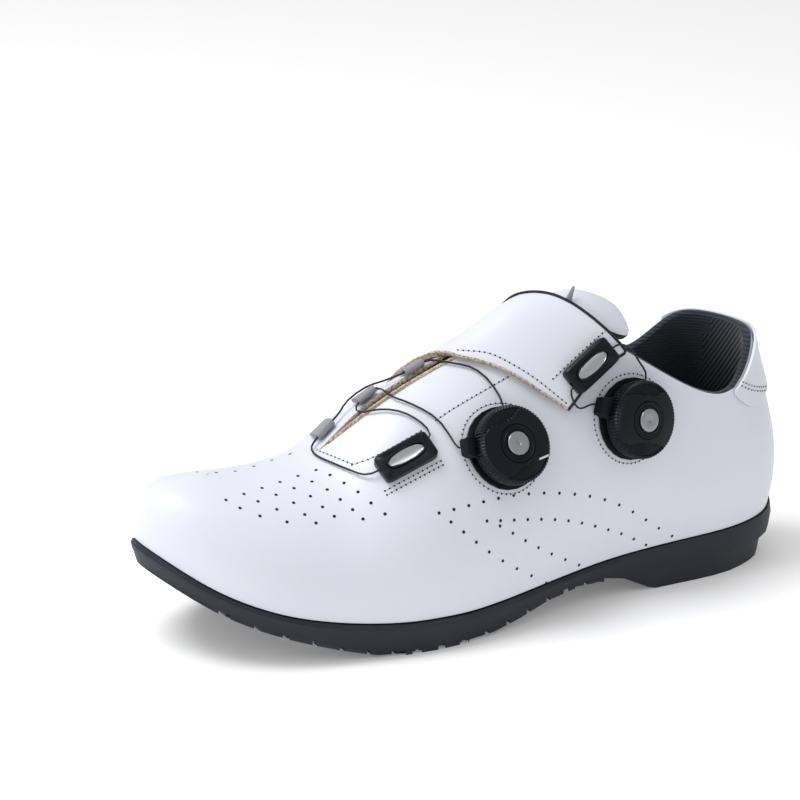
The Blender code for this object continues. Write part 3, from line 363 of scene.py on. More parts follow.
# %% The shoe's finishes
white = finish(
    "white_microfibre", (0.705, 0.722, 0.810), (0.750, 0.766, 0.845), (0.34, 0.44), GRAIN, 1100.0,
    0.00003, {"Specular IOR Level": 0.45},
)
raw_edge = finish(
    "raw_microfibre_edge", (0.20, 0.13, 0.08), (0.70, 0.60, 0.48), (0.80, 0.95), FIBRE, 1100.0,
    0.00030, contrast=1.6,
)
lining = finish(
    "black_ribbed_knit", (0.006, 0.009, 0.018), (0.020, 0.027, 0.045), (0.85, 0.95), KNIT, 240.0,
    0.00030, {"Sheen Weight": 0.25, "Sheen Roughness": 0.5},
)
heel_knit = finish(
    "black_diagonal_knit", (0.006, 0.009, 0.018), (0.022, 0.029, 0.048), (0.85, 0.95), KNIT, 200.0,
    0.00035, {"Sheen Weight": 0.25, "Sheen Roughness": 0.5}, turned=(0.9, 0.5, 0.0),
)
tape = finish(
    "black_tape", (0.007, 0.008, 0.012), (0.016, 0.019, 0.027), (0.70, 0.85), WEAVE, 420.0, 0.00012
)
rubber = moulded(
    "charcoal_rubber", (0.0100, 0.0130, 0.0215), (0.045, 0.050, 0.064), (0.50, 0.60), 0.7, 0.00002,
    {"Specular IOR Level": 0.32},
)
black = moulded(
    "black_plastic", (0.0022, 0.0034, 0.0078), (0.020, 0.024, 0.033), (0.34, 0.42), 0.5, 0.000008,
    {"Specular IOR Level": 0.22},
)
dull_black = moulded(
    "dull_black_plastic", (0.0012, 0.0018, 0.0042), (0.008, 0.010, 0.015), (0.52, 0.60), 0.5,
    0.000008, {"Specular IOR Level": 0.12},
)
grey = moulded(
    "grey_plastic", (0.330, 0.342, 0.372), (0.500, 0.510, 0.530), (0.42, 0.50), 0.5, 0.000012
)
webbing = finish(
    "grey_webbing", (0.250, 0.256, 0.285), (0.500, 0.505, 0.540), (0.75, 0.90), WEAVE, 520.0,
    0.00018,
)
braid = finish(
    "black_braid", (0.005, 0.006, 0.009), (0.019, 0.022, 0.030), (0.45, 0.60), WEAVE, 900.0, 0.00010
)
thread = finish(
    "white_thread", (0.52, 0.53, 0.57), (0.72, 0.73, 0.76), (0.60, 0.75), WEAVE, 1500.0, 0.00004
)
hole_shade = finish(
    "hole_shade", (0.008, 0.009, 0.015), (0.014, 0.016, 0.024), (0.85, 0.95), GRAIN, 2000.0, 0.00002
)
metal = finish(
    "satin_metal", (0.42, 0.43, 0.45), (0.56, 0.57, 0.59), (0.26, 0.36), GRAIN, 3000.0, 0.000006,
    {"Metallic": 0.85},
)
button = finish(
    "satin_button", (0.26, 0.27, 0.29), (0.36, 0.37, 0.40), (0.28, 0.36), GRAIN, 2500.0, 0.000006,
    {"Metallic": 0.6},
)
mark = finish(
    "pale_mark", (0.60, 0.61, 0.64), (0.70, 0.71, 0.73), (0.40, 0.48), GRAIN, 2500.0, 0.000006
)
print(len(bpy.data.materials), "materials")


# %% [markdown]
# ## From solid to soft form
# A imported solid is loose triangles. A copy is merged, its triangles are paired to quads, and edges
# that should stay crisp get a crease. Subdivision then rounds the rest, as a moulder or a
# last would. Hard pieces are bevelled instead, because subdivision would melt their corners.

# %% Helpers for dressing a solid
PAIRING = math.radians(40)


def copied(solid):
    """A merged copy of a solid's mesh, in quads where its triangles pair."""
    form = bmesh.new()
    form.from_mesh(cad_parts[solid].data)
    for layer in list(form.loops.layers.uv.values()):
        form.loops.layers.uv.remove(layer)
    bmesh.ops.remove_doubles(form, verts=form.verts, dist=1e-6)
    bmesh.ops.join_triangles(
        form,
        faces=form.faces,
        angle_face_threshold=PAIRING,
        angle_shape_threshold=math.radians(60),
        cmp_seam=False,
        cmp_sharp=False,
        cmp_uvs=False,
        cmp_vcols=False,
        cmp_materials=False,
    )
    return form


def creased(form, angle, amount):
    """Gives the edges sharper than an angle in degrees a crease for the subdivision."""
    layer = form.edges.layers.float.get("crease_edge") or form.edges.layers.float.new("crease_edge")
    for edge in form.edges:
        if len(edge.link_faces) == 2 and edge.calc_face_angle() > math.radians(angle):
            edge[layer] = amount


def piece(name, form, finishes, smooth=40.0):
    """Turns a bmesh into an object at the origin, with its finishes and smooth faces."""
    mesh = bpy.data.meshes.new(name)
    form.to_mesh(mesh)
    form.free()
    if "custom_normal" in mesh.attributes:
        mesh.attributes.remove(mesh.attributes["custom_normal"])
    for made in finishes:
        mesh.materials.append(made)
    mesh.shade_smooth()
    mesh.set_sharp_from_angle(angle=math.radians(smooth))
    obj = bpy.data.objects.new(name, mesh)
    bpy.context.scene.collection.objects.link(obj)
    return obj


def modified(obj, kind, **settings):
    """Adds a modifier, applies it and keeps the object."""
    modifier = obj.modifiers.new(kind.title(), kind)
    for key, value in settings.items():
        setattr(modifier, key, value)
    graph = bpy.context.evaluated_depsgraph_get()
    mesh = bpy.data.meshes.new_from_object(obj.evaluated_get(graph))
    obj.modifiers.clear()
    mesh.name = obj.name
    obj.data = mesh
    return obj


def subdivided(obj, levels):
    return modified(obj, "SUBSURF", levels=levels, render_levels=levels)


def corded(name, points, radius, made, closed=False):
    """A round cord, piping or lip along a line of points."""
    curve = bpy.data.curves.new(name, "CURVE")
    curve.dimensions = "3D"
    curve.bevel_depth = radius
    curve.bevel_resolution = 2
    curve.use_fill_caps = not closed
    line = curve.splines.new("POLY")
    line.points.add(len(points) - 1)
    for point, place in zip(line.points, points):
        point.co = (*place, 1)
    line.use_cyclic_u = closed
    path = bpy.data.objects.new(name + "_path", curve)
    graph = bpy.context.evaluated_depsgraph_get()
    bpy.context.scene.collection.objects.link(path)
    graph.update()
    form = bmesh.new()
    form.from_mesh(bpy.data.meshes.new_from_object(path.evaluated_get(graph)))
    bpy.data.objects.remove(path)
    bmesh.ops.remove_doubles(form, verts=form.verts, dist=1e-6)
    return piece(name, form, (made,), 60)


def longest_chain(edges):
    """The corners of the longest run of edges, in order from its inner end."""
    beside = {}
    for edge in edges:
        for vert in edge.verts:
            beside.setdefault(vert, []).append(edge.other_vert(vert))
    chains = []
    ends = [v for v, others in beside.items() if len(others) == 1]
    for first in sorted(ends, key=lambda v: -v.co.y):
        chain = [first]
        while ahead := [v for v in beside[chain[-1]] if v not in chain]:
            chain.append(ahead[0])
        chains.append([v.co.copy() for v in chain])
    return max(chains, key=len)


def smooth_line(spots, count):
    """Evenly spaced places on a smooth curve through a few spots."""
    spots = [np.array(spot, float) for spot in spots]
    ends = [2 * spots[0] - spots[1]] + spots + [2 * spots[-1] - spots[-2]]
    fine = []
    for a, b, c, d in zip(ends, ends[1:], ends[2:], ends[3:]):
        for t in np.linspace(0, 1, 24, endpoint=False):
            fine.append(
                0.5 * (2 * b + (c - a) * t + (2 * a - 5 * b + 4 * c - d) * t**2
                       + (3 * b - a - 3 * c + d) * t**3)
            )
    fine.append(spots[-1])
    fine = np.array(fine)
    along = np.concatenate([[0], np.cumsum(np.linalg.norm(np.diff(fine, axis=0), axis=1))])
    places = np.linspace(0, along[-1], count)
    return [
        np.array([np.interp(place, along, fine[:, k]) for k in range(fine.shape[1])])
        for place in places
    ]


def worn_by(obj, slot, *solids):
    """Rides the piece on the shoe and hides the solids that it stands for. The slot is not used."""
    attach(obj, "root")
    if solids:
        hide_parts(*solids)
    print(obj.name, len(obj.data.polygons), "faces")
    return obj


def patches_of(form, angle):
    """The faces in groups that meet only at edges sharper than an angle in degrees."""
    limit = math.radians(angle)
    left = set(form.faces)
    groups = []
    while left:
        stack = [left.pop()]
        found = []
        while stack:
            face = stack.pop()
            found.append(face)
            for edge in face.edges:
                if len(edge.link_faces) != 2 or edge.calc_face_angle() > limit:
                    continue
                for other in edge.link_faces:
                    if other in left:
                        left.remove(other)
                        stack.append(other)
        groups.append(found)
    return sorted(groups, key=lambda faces: -sum(face.calc_area() for face in faces))


# %% [markdown]
# ## The upper
# The upper is one sheet of coated microfibre pulled over a last, backed with black knit. Its cut
# edge shows tan along the throat, and the collar is rolled over foam and covered with the knit. A
# pad with slanting ribs swells inside the heel. The outer face, the lining and the rim are told
# apart by the sharp edges between them.

# %% Upper
OUTER, INNER, CUT, ROLLED, PADDED = range(5)
HEEL_PAD_FRONT = 124 * MM
HEEL_PAD_BULGE = 2.2 * MM
HEEL_PAD_RUN_IN = 8 * MM
HEEL_PAD_FOOT = 50 * MM
HEEL_PAD_RISE = 15 * MM
RIM_ANGLE = 45
COLLAR_FRONT = 28 * MM
RIM_HEIGHT = 60 * MM
THROAT_SIDE = 0.5 * MM
THROAT_REAR = 8 * MM
THROAT_LOW = 60 * MM
RAW_RADIUS = 0.75 * MM

form = copied("upper")
shells = patches_of(form, RIM_ANGLE)
outer_first = min(shells[:2], key=lambda faces: min(face.calc_center_median().y for face in faces))
for faces in shells:
    for face in faces:
        middle = face.calc_center_median()
        if faces is outer_first:
            face.material_index = OUTER
        elif faces in shells[:2]:
            face.material_index = PADDED if middle.x > HEEL_PAD_FRONT else INNER
        else:
            face.material_index = ROLLED if middle.x > COLLAR_FRONT else CUT
print("upper:", [len(faces) for faces in shells[:6]], "faces a patch")

for vert in form.verts:
    if all(face.material_index in (INNER, PADDED) for face in vert.link_faces):
        share = min(max((vert.co.x - HEEL_PAD_FRONT) / HEEL_PAD_RUN_IN, 0), 1)
        high = min(max((vert.co.z - HEEL_PAD_FOOT) / HEEL_PAD_RISE, 0), 1)
        vert.co += vert.normal * HEEL_PAD_BULGE * share * high
outer_faces = set(outer_first)
throat_edges = [
    edge for edge in form.edges
    if any(f in outer_faces for f in edge.link_faces)
    and any(f.material_index == CUT for f in edge.link_faces)
    and min(v.co.y for v in edge.verts) < THROAT_SIDE
    and max(v.co.x for v in edge.verts) < THROAT_REAR
    and min(v.co.z for v in edge.verts) > THROAT_LOW
]
throat_edge = longest_chain(throat_edges)
print("outer throat edge:", len(throat_edge), "corners")
crease = form.edges.layers.float.new("crease_edge")
for edge in form.edges:
    if len(edge.link_faces) != 2 or edge.calc_face_angle() < math.radians(RIM_ANGLE):
        continue
    middle = (edge.verts[0].co + edge.verts[1].co) / 2
    padded = middle.x > COLLAR_FRONT and middle.z > RIM_HEIGHT
    edge[crease] = 0.25 if padded else 0.9
upper = subdivided(piece("upper_shell", form, (white, lining, raw_edge, lining, heel_knit), 60), 2)

# %% [markdown]
# Creases are hollows and ridges that follow a line across the shoe. Each is listed: where it
# starts and ends, how wide it is and how deep. Both faces of the wall move together, so the wall
# keeps its thickness.

# %% Soft creases of the upper
CREASES = (
    # start x, y, z, end x, y, z, half width, depth in mm; a negative depth is a ridge
    ((-8, -30, 84), (-34, -44, 46), 7.0, 0.55),
    ((2, -36, 74), (-16, -47, 44), 6.0, -0.30),
    ((-62, -14, 78), (-78, -42, 44), 9.0, 0.35),
    ((-66, 22, 70), (-72, 44, 44), 9.0, 0.45),
    ((-20, 24, 88), (-34, 44, 48), 8.0, 0.50),
    ((66, -40, 66), (96, -38, 46), 9.0, 0.40),
    ((70, 38, 68), (98, 36, 48), 9.0, 0.40),
    ((108, -33, 74), (124, -28, 50), 7.0, -0.25),
)


def press(obj, creases):
    """Moves the points near each crease line inwards, most at the middle of the line."""
    mesh = obj.data
    points = np.empty(len(mesh.vertices) * 3)
    mesh.vertices.foreach_get("co", points)
    points = points.reshape(-1, 3)
    moved = np.zeros_like(points)
    for start, end, half_width, depth in creases:
        first, last = np.array(start) * MM, np.array(end) * MM
        line = last - first
        share = np.clip((points - first) @ line / (line @ line), 0, 1)
        near = np.linalg.norm(points - (first + share[:, None] * line), axis=1)
        swell = np.sin(math.pi * np.clip(share, 0.04, 0.96)) ** 0.6
        amount = depth * MM * swell * np.exp(-((near / (half_width * MM)) ** 2))
        moved[:, 1] -= amount * np.sign(first[1] + last[1])
    points += moved
    mesh.vertices.foreach_set("co", points.reshape(-1))
    mesh.update()
    return float(np.abs(moved).max() / MM)


print("deepest crease", round(press(upper, CREASES), 2), "mm")
worn_by(upper, "microfibre", "upper")
throat_line = smooth_line([tuple(p) for p in throat_edge], 90)
worn_by(corded("raw_throat_edge", throat_line, RAW_RADIUS, raw_edge), "microfibre")


# %% [markdown]
# ## Small things on a surface
# Holes and stitches are too many to place one by one. A Skin casts rays at a finished surface and
# says where they meet it, from the camera or from the side. Rows are drawn as smooth lines through
# a few spots, and the holes or stitches are laid out evenly along them.

# %% Helpers for rows on a surface
class Skin:
    """A finished surface that small pieces are laid on."""

    def __init__(self, *objects):
        graph = bpy.context.evaluated_depsgraph_get()
        self.trees = [BVHTree.FromObject(obj, graph) for obj in objects]

    def cast(self, origin, direction, reach=3.0):
        hits = [tree.ray_cast(origin, direction, reach) for tree in self.trees]
        hits = [(hit[3], hit[0], hit[1]) for hit in hits if hit[0] is not None]
        if not hits:
            return None
        _, point, normal = min(hits, key=lambda hit: hit[0])
        return point, (normal if normal.dot(direction) < 0 else -normal)

    def seen(self, x, y):
        """The point that the camera sees at a spot of the picture."""
        return self.cast(CAMERA_PLACE, sight(x, y))

    def beside(self, x, z, side):
        """The point met from one side of the shoe at a place along it and a height."""
        return self.cast(Vector((x, side * 0.2, z)), Vector((0, -side, 0)))

    def nearest(self, point):
        hits = [tree.find_nearest(point) for tree in self.trees]
        place, normal, _, _ = min(hits, key=lambda hit: hit[3])
        return place, normal


def frame_at(point, normal, along):
    """A matrix that stands on a surface: X along a row, Z out of the surface."""
    out = normal.normalized()
    ahead = (along - out * along.dot(out)).normalized()
    turn = Matrix((ahead, out.cross(ahead), out)).transposed().to_4x4()
    return Matrix.Translation(point) @ turn


# %% [markdown]
# A punched hole is a dark dished disc a hair above the surface, and a stitch is a short rounded
# bar with a needle hole at its end. Each has only a few dozen faces, and all of one kind are joined
# into one mesh.

# %% Holes and stitches
HOLE_RADIUS = 0.68 * MM
HOLE_LIFT = 0.05 * MM
HOLE_RIM = 0.35
HOLE_DISH = 0.4
STITCH = (0.80 * MM, 0.26 * MM, 0.17 * MM)
STITCH_PITCH = 2.1 * MM
NEEDLE_RADIUS = 0.41 * MM


def add_hole(form, place, radius, lift):
    """A dished disc: a raised rim, a share of the radius wide, and a middle a share of the lift lower."""
    made = bmesh.ops.create_circle(form, cap_ends=True, radius=radius, segments=12)
    face = next(f for f in made["verts"][0].link_faces)
    inset = bmesh.ops.inset_individual(
        form, faces=[face], thickness=radius * HOLE_RIM, depth=-lift * HOLE_DISH
    )
    dished = {v for f in inset["faces"] for v in f.verts}
    verts = list(set(made["verts"]) | dished | set(face.verts))
    bmesh.ops.translate(form, verts=verts, vec=(0, 0, lift))
    bmesh.ops.transform(form, verts=verts, matrix=place)


def add_stitch(form, place):
    """A short rounded bar of thread."""
    made = bmesh.ops.create_uvsphere(form, u_segments=6, v_segments=5, radius=1)
    turn = Matrix.Rotation(math.pi / 2, 4, "Y")
    stretch = Matrix.Diagonal((STITCH[2], STITCH[1], STITCH[0], 1))
    lift = Matrix.Translation((0, 0, STITCH[2] * 0.35))
    bmesh.ops.transform(form, verts=made["verts"], matrix=place @ lift @ turn @ stretch)


def sewn_line(points, skin):
    """Stitch places along a line of points on a surface."""
    points = np.array([tuple(p) for p in points])
    along = np.concatenate([[0], np.cumsum(np.linalg.norm(np.diff(points, axis=0), axis=1))])
    count = max(int(along[-1] / STITCH_PITCH), 2)
    places = []
    for i in range(count + 1):
        here = i * along[-1] / count
        at = Vector([np.interp(here, along, points[:, k]) for k in range(3)])
        ahead = Vector([np.interp(here + MM, along, points[:, k]) for k in range(3)])
        back = Vector([np.interp(here - MM, along, points[:, k]) for k in range(3)])
        spot, normal = skin.nearest(at)
        if normal.dot((CAMERA_PLACE - at).normalized()) < -0.9:
            normal = -normal
        places.append((spot, normal, ahead - back))
    return places


def seam(name, lines, skin, slot="microfibre"):
    """One piece with all the stitches of several lines, and one with their needle holes."""
    bars = bmesh.new()
    dots = bmesh.new()
    for points in lines:
        places = sewn_line(points, skin)
        for (spot, normal, ahead), (after, _, _) in zip(places, places[1:]):
            add_stitch(bars, frame_at((spot + after) / 2, normal, ahead))
        for spot, normal, ahead in places:
            add_hole(dots, frame_at(spot, normal, ahead), NEEDLE_RADIUS, HOLE_LIFT)
    worn_by(piece(name + "_stitches", bars, (thread,)), slot)
    worn_by(piece(name + "_needle_holes", dots, (hole_shade,)), slot)


skin = Skin(upper)

# %% [markdown]
# ## Punched holes
# The vamp has slanting rows of breathing holes, and four curved rows sweep back along the side.
# Their ends are read from the picture in pixels. The inner side of the shoe is hidden there, so it
# repeats the outer side's rows, met from the other side.

# %% Vamp and side holes
VAMP_HOLES = (
    # spots of the picture in pixels, and how many holes
    (((226, 500), (316, 470)), 6),
    (((240, 508), (330, 475)), 6),
    (((260, 516), (344, 483)), 6),
    (((287, 522), (358, 492)), 5),
    (((316, 523), (371, 503)), 4),
    (((363, 519), (385, 514)), 2),
    (((197, 472), (236, 471), (290, 454)), 6),
)
SIDE_HOLES = (
    # spots of the picture in pixels, and how many holes
    (((439, 513), (526, 494), (606, 500), (672, 536)), 17),
    (((487, 521), (561, 520), (616, 532), (646, 545)), 13),
    (((500, 526), (543, 550), (579, 565)), 7),
    (((451, 522), (498, 558), (546, 583)), 8),
)


def punched(name, rows, mirrored):
    form = bmesh.new()
    count = 0
    for spots, holes in rows:
        for x, y in smooth_line(spots, holes):
            hit = skin.seen(x, y)
            if hit is None:
                continue
            hits = [hit]
            if mirrored:
                hits.append(skin.beside(hit[0].x, hit[0].z, 1))
            for met in filter(None, hits):
                add_hole(form, frame_at(met[0], met[1], Vector((1, 0, 0))), HOLE_RADIUS, HOLE_LIFT)
                count += 1
    print(name, count, "holes")
    return worn_by(piece(name, form, (hole_shade,)), "microfibre")


punched("vamp_holes", VAMP_HOLES, False)
punched("side_holes", SIDE_HOLES, True)

# %% [markdown]
# ## The strap, the tongue and the heel
# The strap is a second layer of microfibre over the instep: its front edge is left raw and tan, and
# its rear edge is bound in black. The tongue is black knit with a padded white top. The heel has a
# stitched tab at the collar and a narrow stay down the back.

# %% Strap
TOP_SIDE, FRONT_SIDE, BOUND_SIDE = range(3)
PIPING = 0.62 * MM
RAW_STRAP_RADIUS = RAW_RADIUS * 0.7

form = copied("instep_strap")
layers = patches_of(form, RIM_ANGLE)
top_layer = max(
    layers[:2], key=lambda faces: sum(f.calc_center_median().z for f in faces) / len(faces)
)
for faces in layers[2:]:
    for face in faces:
        if face.normal.x < -0.1:
            face.material_index = FRONT_SIDE
        elif face.normal.x > 0.3:
            face.material_index = BOUND_SIDE
on_top = set(top_layer)


def rim_of(side):
    """The top layer's edge beside the faces of one side, as a smooth line."""
    edges = [
        edge for edge in form.edges
        if any(f in on_top for f in edge.link_faces)
        and any(f.material_index == side for f in edge.link_faces)
    ]
    return smooth_line([tuple(p) for p in longest_chain(edges)], 120)


bound_rim, raw_rim = rim_of(BOUND_SIDE), rim_of(FRONT_SIDE)
creased(form, 45, 0.85)
strap = subdivided(piece("strap", form, (white, raw_edge, tape), 60), 2)
worn_by(strap, "microfibre", "instep_strap")
worn_by(corded("strap_piping", bound_rim, PIPING, tape), "microfibre")
worn_by(corded("raw_strap_edge", raw_rim, RAW_STRAP_RADIUS, raw_edge), "microfibre")

# %% Tongue
form = copied("tongue")
for face in form.faces:
    middle = face.calc_center_median()
    face.material_index = 1 if middle.x > COLLAR_FRONT and face.normal.z > 0.1 else 0
creased(form, 60, 0.3)
tongue = subdivided(piece("tongue_pad", form, (lining, white), 60), 2)
worn_by(tongue, "knit", "tongue")

# %% [markdown]
# A folded tip of webbing stands up behind the strap, to pull the tongue by. It is flattened and
# tapers to its end, and it is rooted in the tongue where the picture shows it.

# %% Pull tip behind the strap
PULL_SPOT = (567, 304)
PULL_LENGTH = 8.5 * MM
PULL_RADII = (1.7 * MM, 0.5 * MM)
PULL_FLATNESS = 0.45
PULL_LEAN = 0.38
PULL_ROOT = 0.1 * PULL_LENGTH

base, _ = Skin(tongue).seen(*PULL_SPOT)
lean = (camera_up + camera_right * PULL_LEAN).normalized()
flat = lean.cross(forward).normalized()
form = bmesh.new()
bmesh.ops.create_cone(
    form, cap_ends=True, segments=20, radius1=PULL_RADII[0], radius2=PULL_RADII[1],
    depth=PULL_LENGTH,
)
stand = Matrix((flat, lean.cross(flat) * PULL_FLATNESS, lean)).transposed().to_4x4()
middle = base + lean * (PULL_LENGTH / 2 - PULL_ROOT)
bmesh.ops.transform(form, verts=form.verts, matrix=Matrix.Translation(middle) @ stand)
bmesh.ops.recalc_face_normals(form, faces=form.faces)
worn_by(piece("pull_tip", form, (webbing,)), "webbing")

# %% Heel tab, back stay and insole
for solid, name, finishes, slot in (
    ("heel_tab", "heel_patch", (white,), "microfibre"),
    ("back_stay", "heel_stay", (white,), "microfibre"),
    ("insole", "footbed", (lining,), "knit"),
):
    form = copied(solid)
    creased(form, 45, 0.7)
    obj = subdivided(piece(name, form, finishes, 60), 2)
    worn_by(obj, slot, solid)

# %% [markdown]
# ## Loops, guides and laces
# Three folded webbing loops and two moulded guides turn the thin braided lace from dial to dial.
# Each guide has a rounded window with a satin metal slider in it, over the lace.

# %% Webbing loops and laces
for solid, name, made, slot in (
    ("lace_loop_front", "front_loop", webbing, "webbing"),
    ("lace_loop_mid", "middle_loop", webbing, "webbing"),
    ("lace_loop_top", "top_loop", webbing, "webbing"),
    ("lace_lower", "lower_lace", braid, "black_cord"),
    ("lace_upper", "upper_lace", braid, "black_cord"),
):
    form = copied(solid)
    creased(form, 70, 0.5)
    obj = subdivided(piece(name, form, (made,), 60), 2 if slot == "webbing" else 1)
    worn_by(obj, slot, solid)


# %% Where a small solid lies
class Place:
    """The foot and axes of a small solid: out is its flattest direction, along is to the toe."""

    def __init__(self, solid, round_piece=False, outward=Vector((0, -1, 0.6))):
        points = sorted({tuple(np.round(v.co, 6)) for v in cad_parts[solid].data.vertices})
        points = np.array(points)
        spread = np.linalg.eigh(np.cov((points - points.mean(axis=0)).T))[1]
        self.out = Vector(spread[:, 0])
        if self.out.dot(outward) < 0:
            self.out.negate()
        along = Vector((-1, 0, 0)) if round_piece else Vector(spread[:, 2])
        if along.x > 0:
            along.negate()
        self.along = (along - self.out * along.dot(self.out)).normalized()
        self.side = self.out.cross(self.along)
        shares = points @ np.array((self.along, self.side, self.out)).T
        low, high = shares.min(axis=0), shares.max(axis=0)
        middle = (low + high) / 2
        self.foot = self.along * middle[0] + self.side * middle[1] + self.out * low[2]
        self.height = float(high[2] - low[2])

    def matrix(self):
        turn = Matrix((self.along, self.side, self.out)).transposed().to_4x4()
        return Matrix.Translation(self.foot) @ turn


# %% Guides with their sliders
GUIDE_BEVEL = 0.45 * MM
SLIDER = (15.8 * MM, 5.0 * MM)
SLIDER_DEEP = 0.75 * MM
SLIDER_RISE = 0.60 * MM
SLIDER_THICKNESS = 0.25 * MM
LIP = (16.6 * MM, 5.7 * MM, 0.34 * MM)
LIP_RISE = 0.35 * MM


def squircle(u, v, length, width):
    """A spot of the square from -1 to 1, moved to an oval of a length and width."""
    return u * math.sqrt(1 - v * v / 2) * length / 2, v * math.sqrt(1 - u * u / 2) * width / 2


def slider(name, place):
    """A shallow metal trough in the window of a guide, and the raised lip round the window."""
    form = bmesh.new()
    bmesh.ops.create_grid(form, x_segments=24, y_segments=12, size=1.0)
    for vert in form.verts:
        u, v = vert.co.xy
        height = place.height - SLIDER_DEEP + SLIDER_RISE * v * v
        vert.co = Vector((*squircle(u, v, *SLIDER), height))
    bmesh.ops.recalc_face_normals(form, faces=form.faces)
    if next(iter(form.faces)).normal.z < 0:
        bmesh.ops.reverse_faces(form, faces=form.faces)
    bmesh.ops.solidify(form, geom=form.faces, thickness=SLIDER_THICKNESS)
    bmesh.ops.transform(form, verts=form.verts, matrix=place.matrix())
    worn_by(piece(name + "_slider", form, (metal,)), "grey_plastic")
    lip = []
    for turn in np.linspace(0, 2 * math.pi, 72, endpoint=False):
        u = abs(math.cos(turn)) ** 0.62 * math.copysign(LIP[0] / 2, math.cos(turn))
        v = abs(math.sin(turn)) ** 0.85 * math.copysign(LIP[1] / 2, math.sin(turn))
        lip.append(place.matrix() @ Vector((u, v, place.height + LIP_RISE)))
    worn_by(corded(name + "_lip", lip, LIP[2], black, closed=True), "black_plastic")


for solid, name in (("lace_guide_lower", "lower_guide"), ("lace_guide_strap", "strap_guide")):
    place = Place(solid)
    obj = piece(name, copied(solid), (black,), 35)
    modified(obj, "BEVEL", width=GUIDE_BEVEL, segments=2, limit_method="ANGLE",
             angle_limit=math.radians(50))
    obj.data.shade_smooth()
    obj.data.set_sharp_from_angle(angle=math.radians(40))
    worn_by(obj, "black_plastic", solid)
    slider(name, place)

# %% [markdown]
# ## The lace dials
# A dial is a turned cap on a sewn-on base. Its side has fine ribs to grip, its face is a shallow
# dome, and a plain round button with a dimple sits in the hub. Two smooth plates sweep over the
# face, and the ribs run on outside them. The cap is a half profile, spun round its axis. Every
# second point of the ribbed rings is then pressed in.

# %% Dial caps
RIBS = 72
RIB_DEPTH = 0.34 * MM
CAP_RIM = 15.4
PLATE_STEP = 0.70 * MM
CAP_SIDE = (
    # radius and height in mm over the base, and whether the ring is ribbed
    (14.90, 0.00, 0),
    (15.45, 0.15, 0),
    (15.45, 0.95, 0),
    (15.10, 1.15, 0),
    (15.70, 1.45, 1),
    (15.75, 2.60, 1),
    (15.75, 4.60, 1),
    (15.60, 5.35, 1),
    (15.20, 5.95, 1),
    (14.65, 6.40, 1),
)
FACE_FROM, FACE_TO, FACE_STEP = 14.2, 7.7, 0.40
FACE_TOP, FACE_FALL = 7.55, 0.85
CAP_HUB = (
    # radius and height in mm over the base
    (7.55, 7.10),
    (7.35, 7.62),
    (7.10, 7.72),
    (6.85, 7.50),
    (6.20, 7.44),
    (5.95, 7.80),
    (5.70, 7.88),
    (5.40, 7.55),
    (4.85, 7.50),
    (4.65, 8.00),
    (4.40, 8.34),
    (3.90, 8.50),
    (3.00, 8.54),
    (1.60, 8.46),
    (1.00, 8.34),
    (0.75, 8.05),
    (0.35, 7.95),
    (0.00, 7.93),
)
BUTTON_RADIUS = 4.7 * MM
PLATE_EDGES = (
    # turn in degrees from the toe's side towards the sole, and how far out the smooth face goes, mm
    (0, 14.3),
    (61, 14.3),
    (83, 10.2),
    (113, 8.4),
    (136, 10.7),
    (152, 14.6),
    (250, 14.6),
    (265, 10.4),
    (293, 9.3),
    (320, 12.2),
    (338, 14.3),
    (360, 14.3),
)
TICK_MIDDLE = (-10.2, 6.95)
TICK_TURN = -168.7
TICK = (4.4 * MM, 0.75 * MM, 1.0 * MM)


def face_height(radius):
    """The shallow dome between the ribbed rim and the hub, in mm."""
    share = (radius - FACE_TO) / (FACE_FROM - FACE_TO)
    return FACE_TOP - FACE_FALL * share**1.3


def plate_edge(turn):
    """How far out the smooth plates reach at a turn round the dial, in mm."""
    turns, reaches = zip(*PLATE_EDGES)
    return float(np.interp(math.degrees(turn) % 360, turns, reaches))


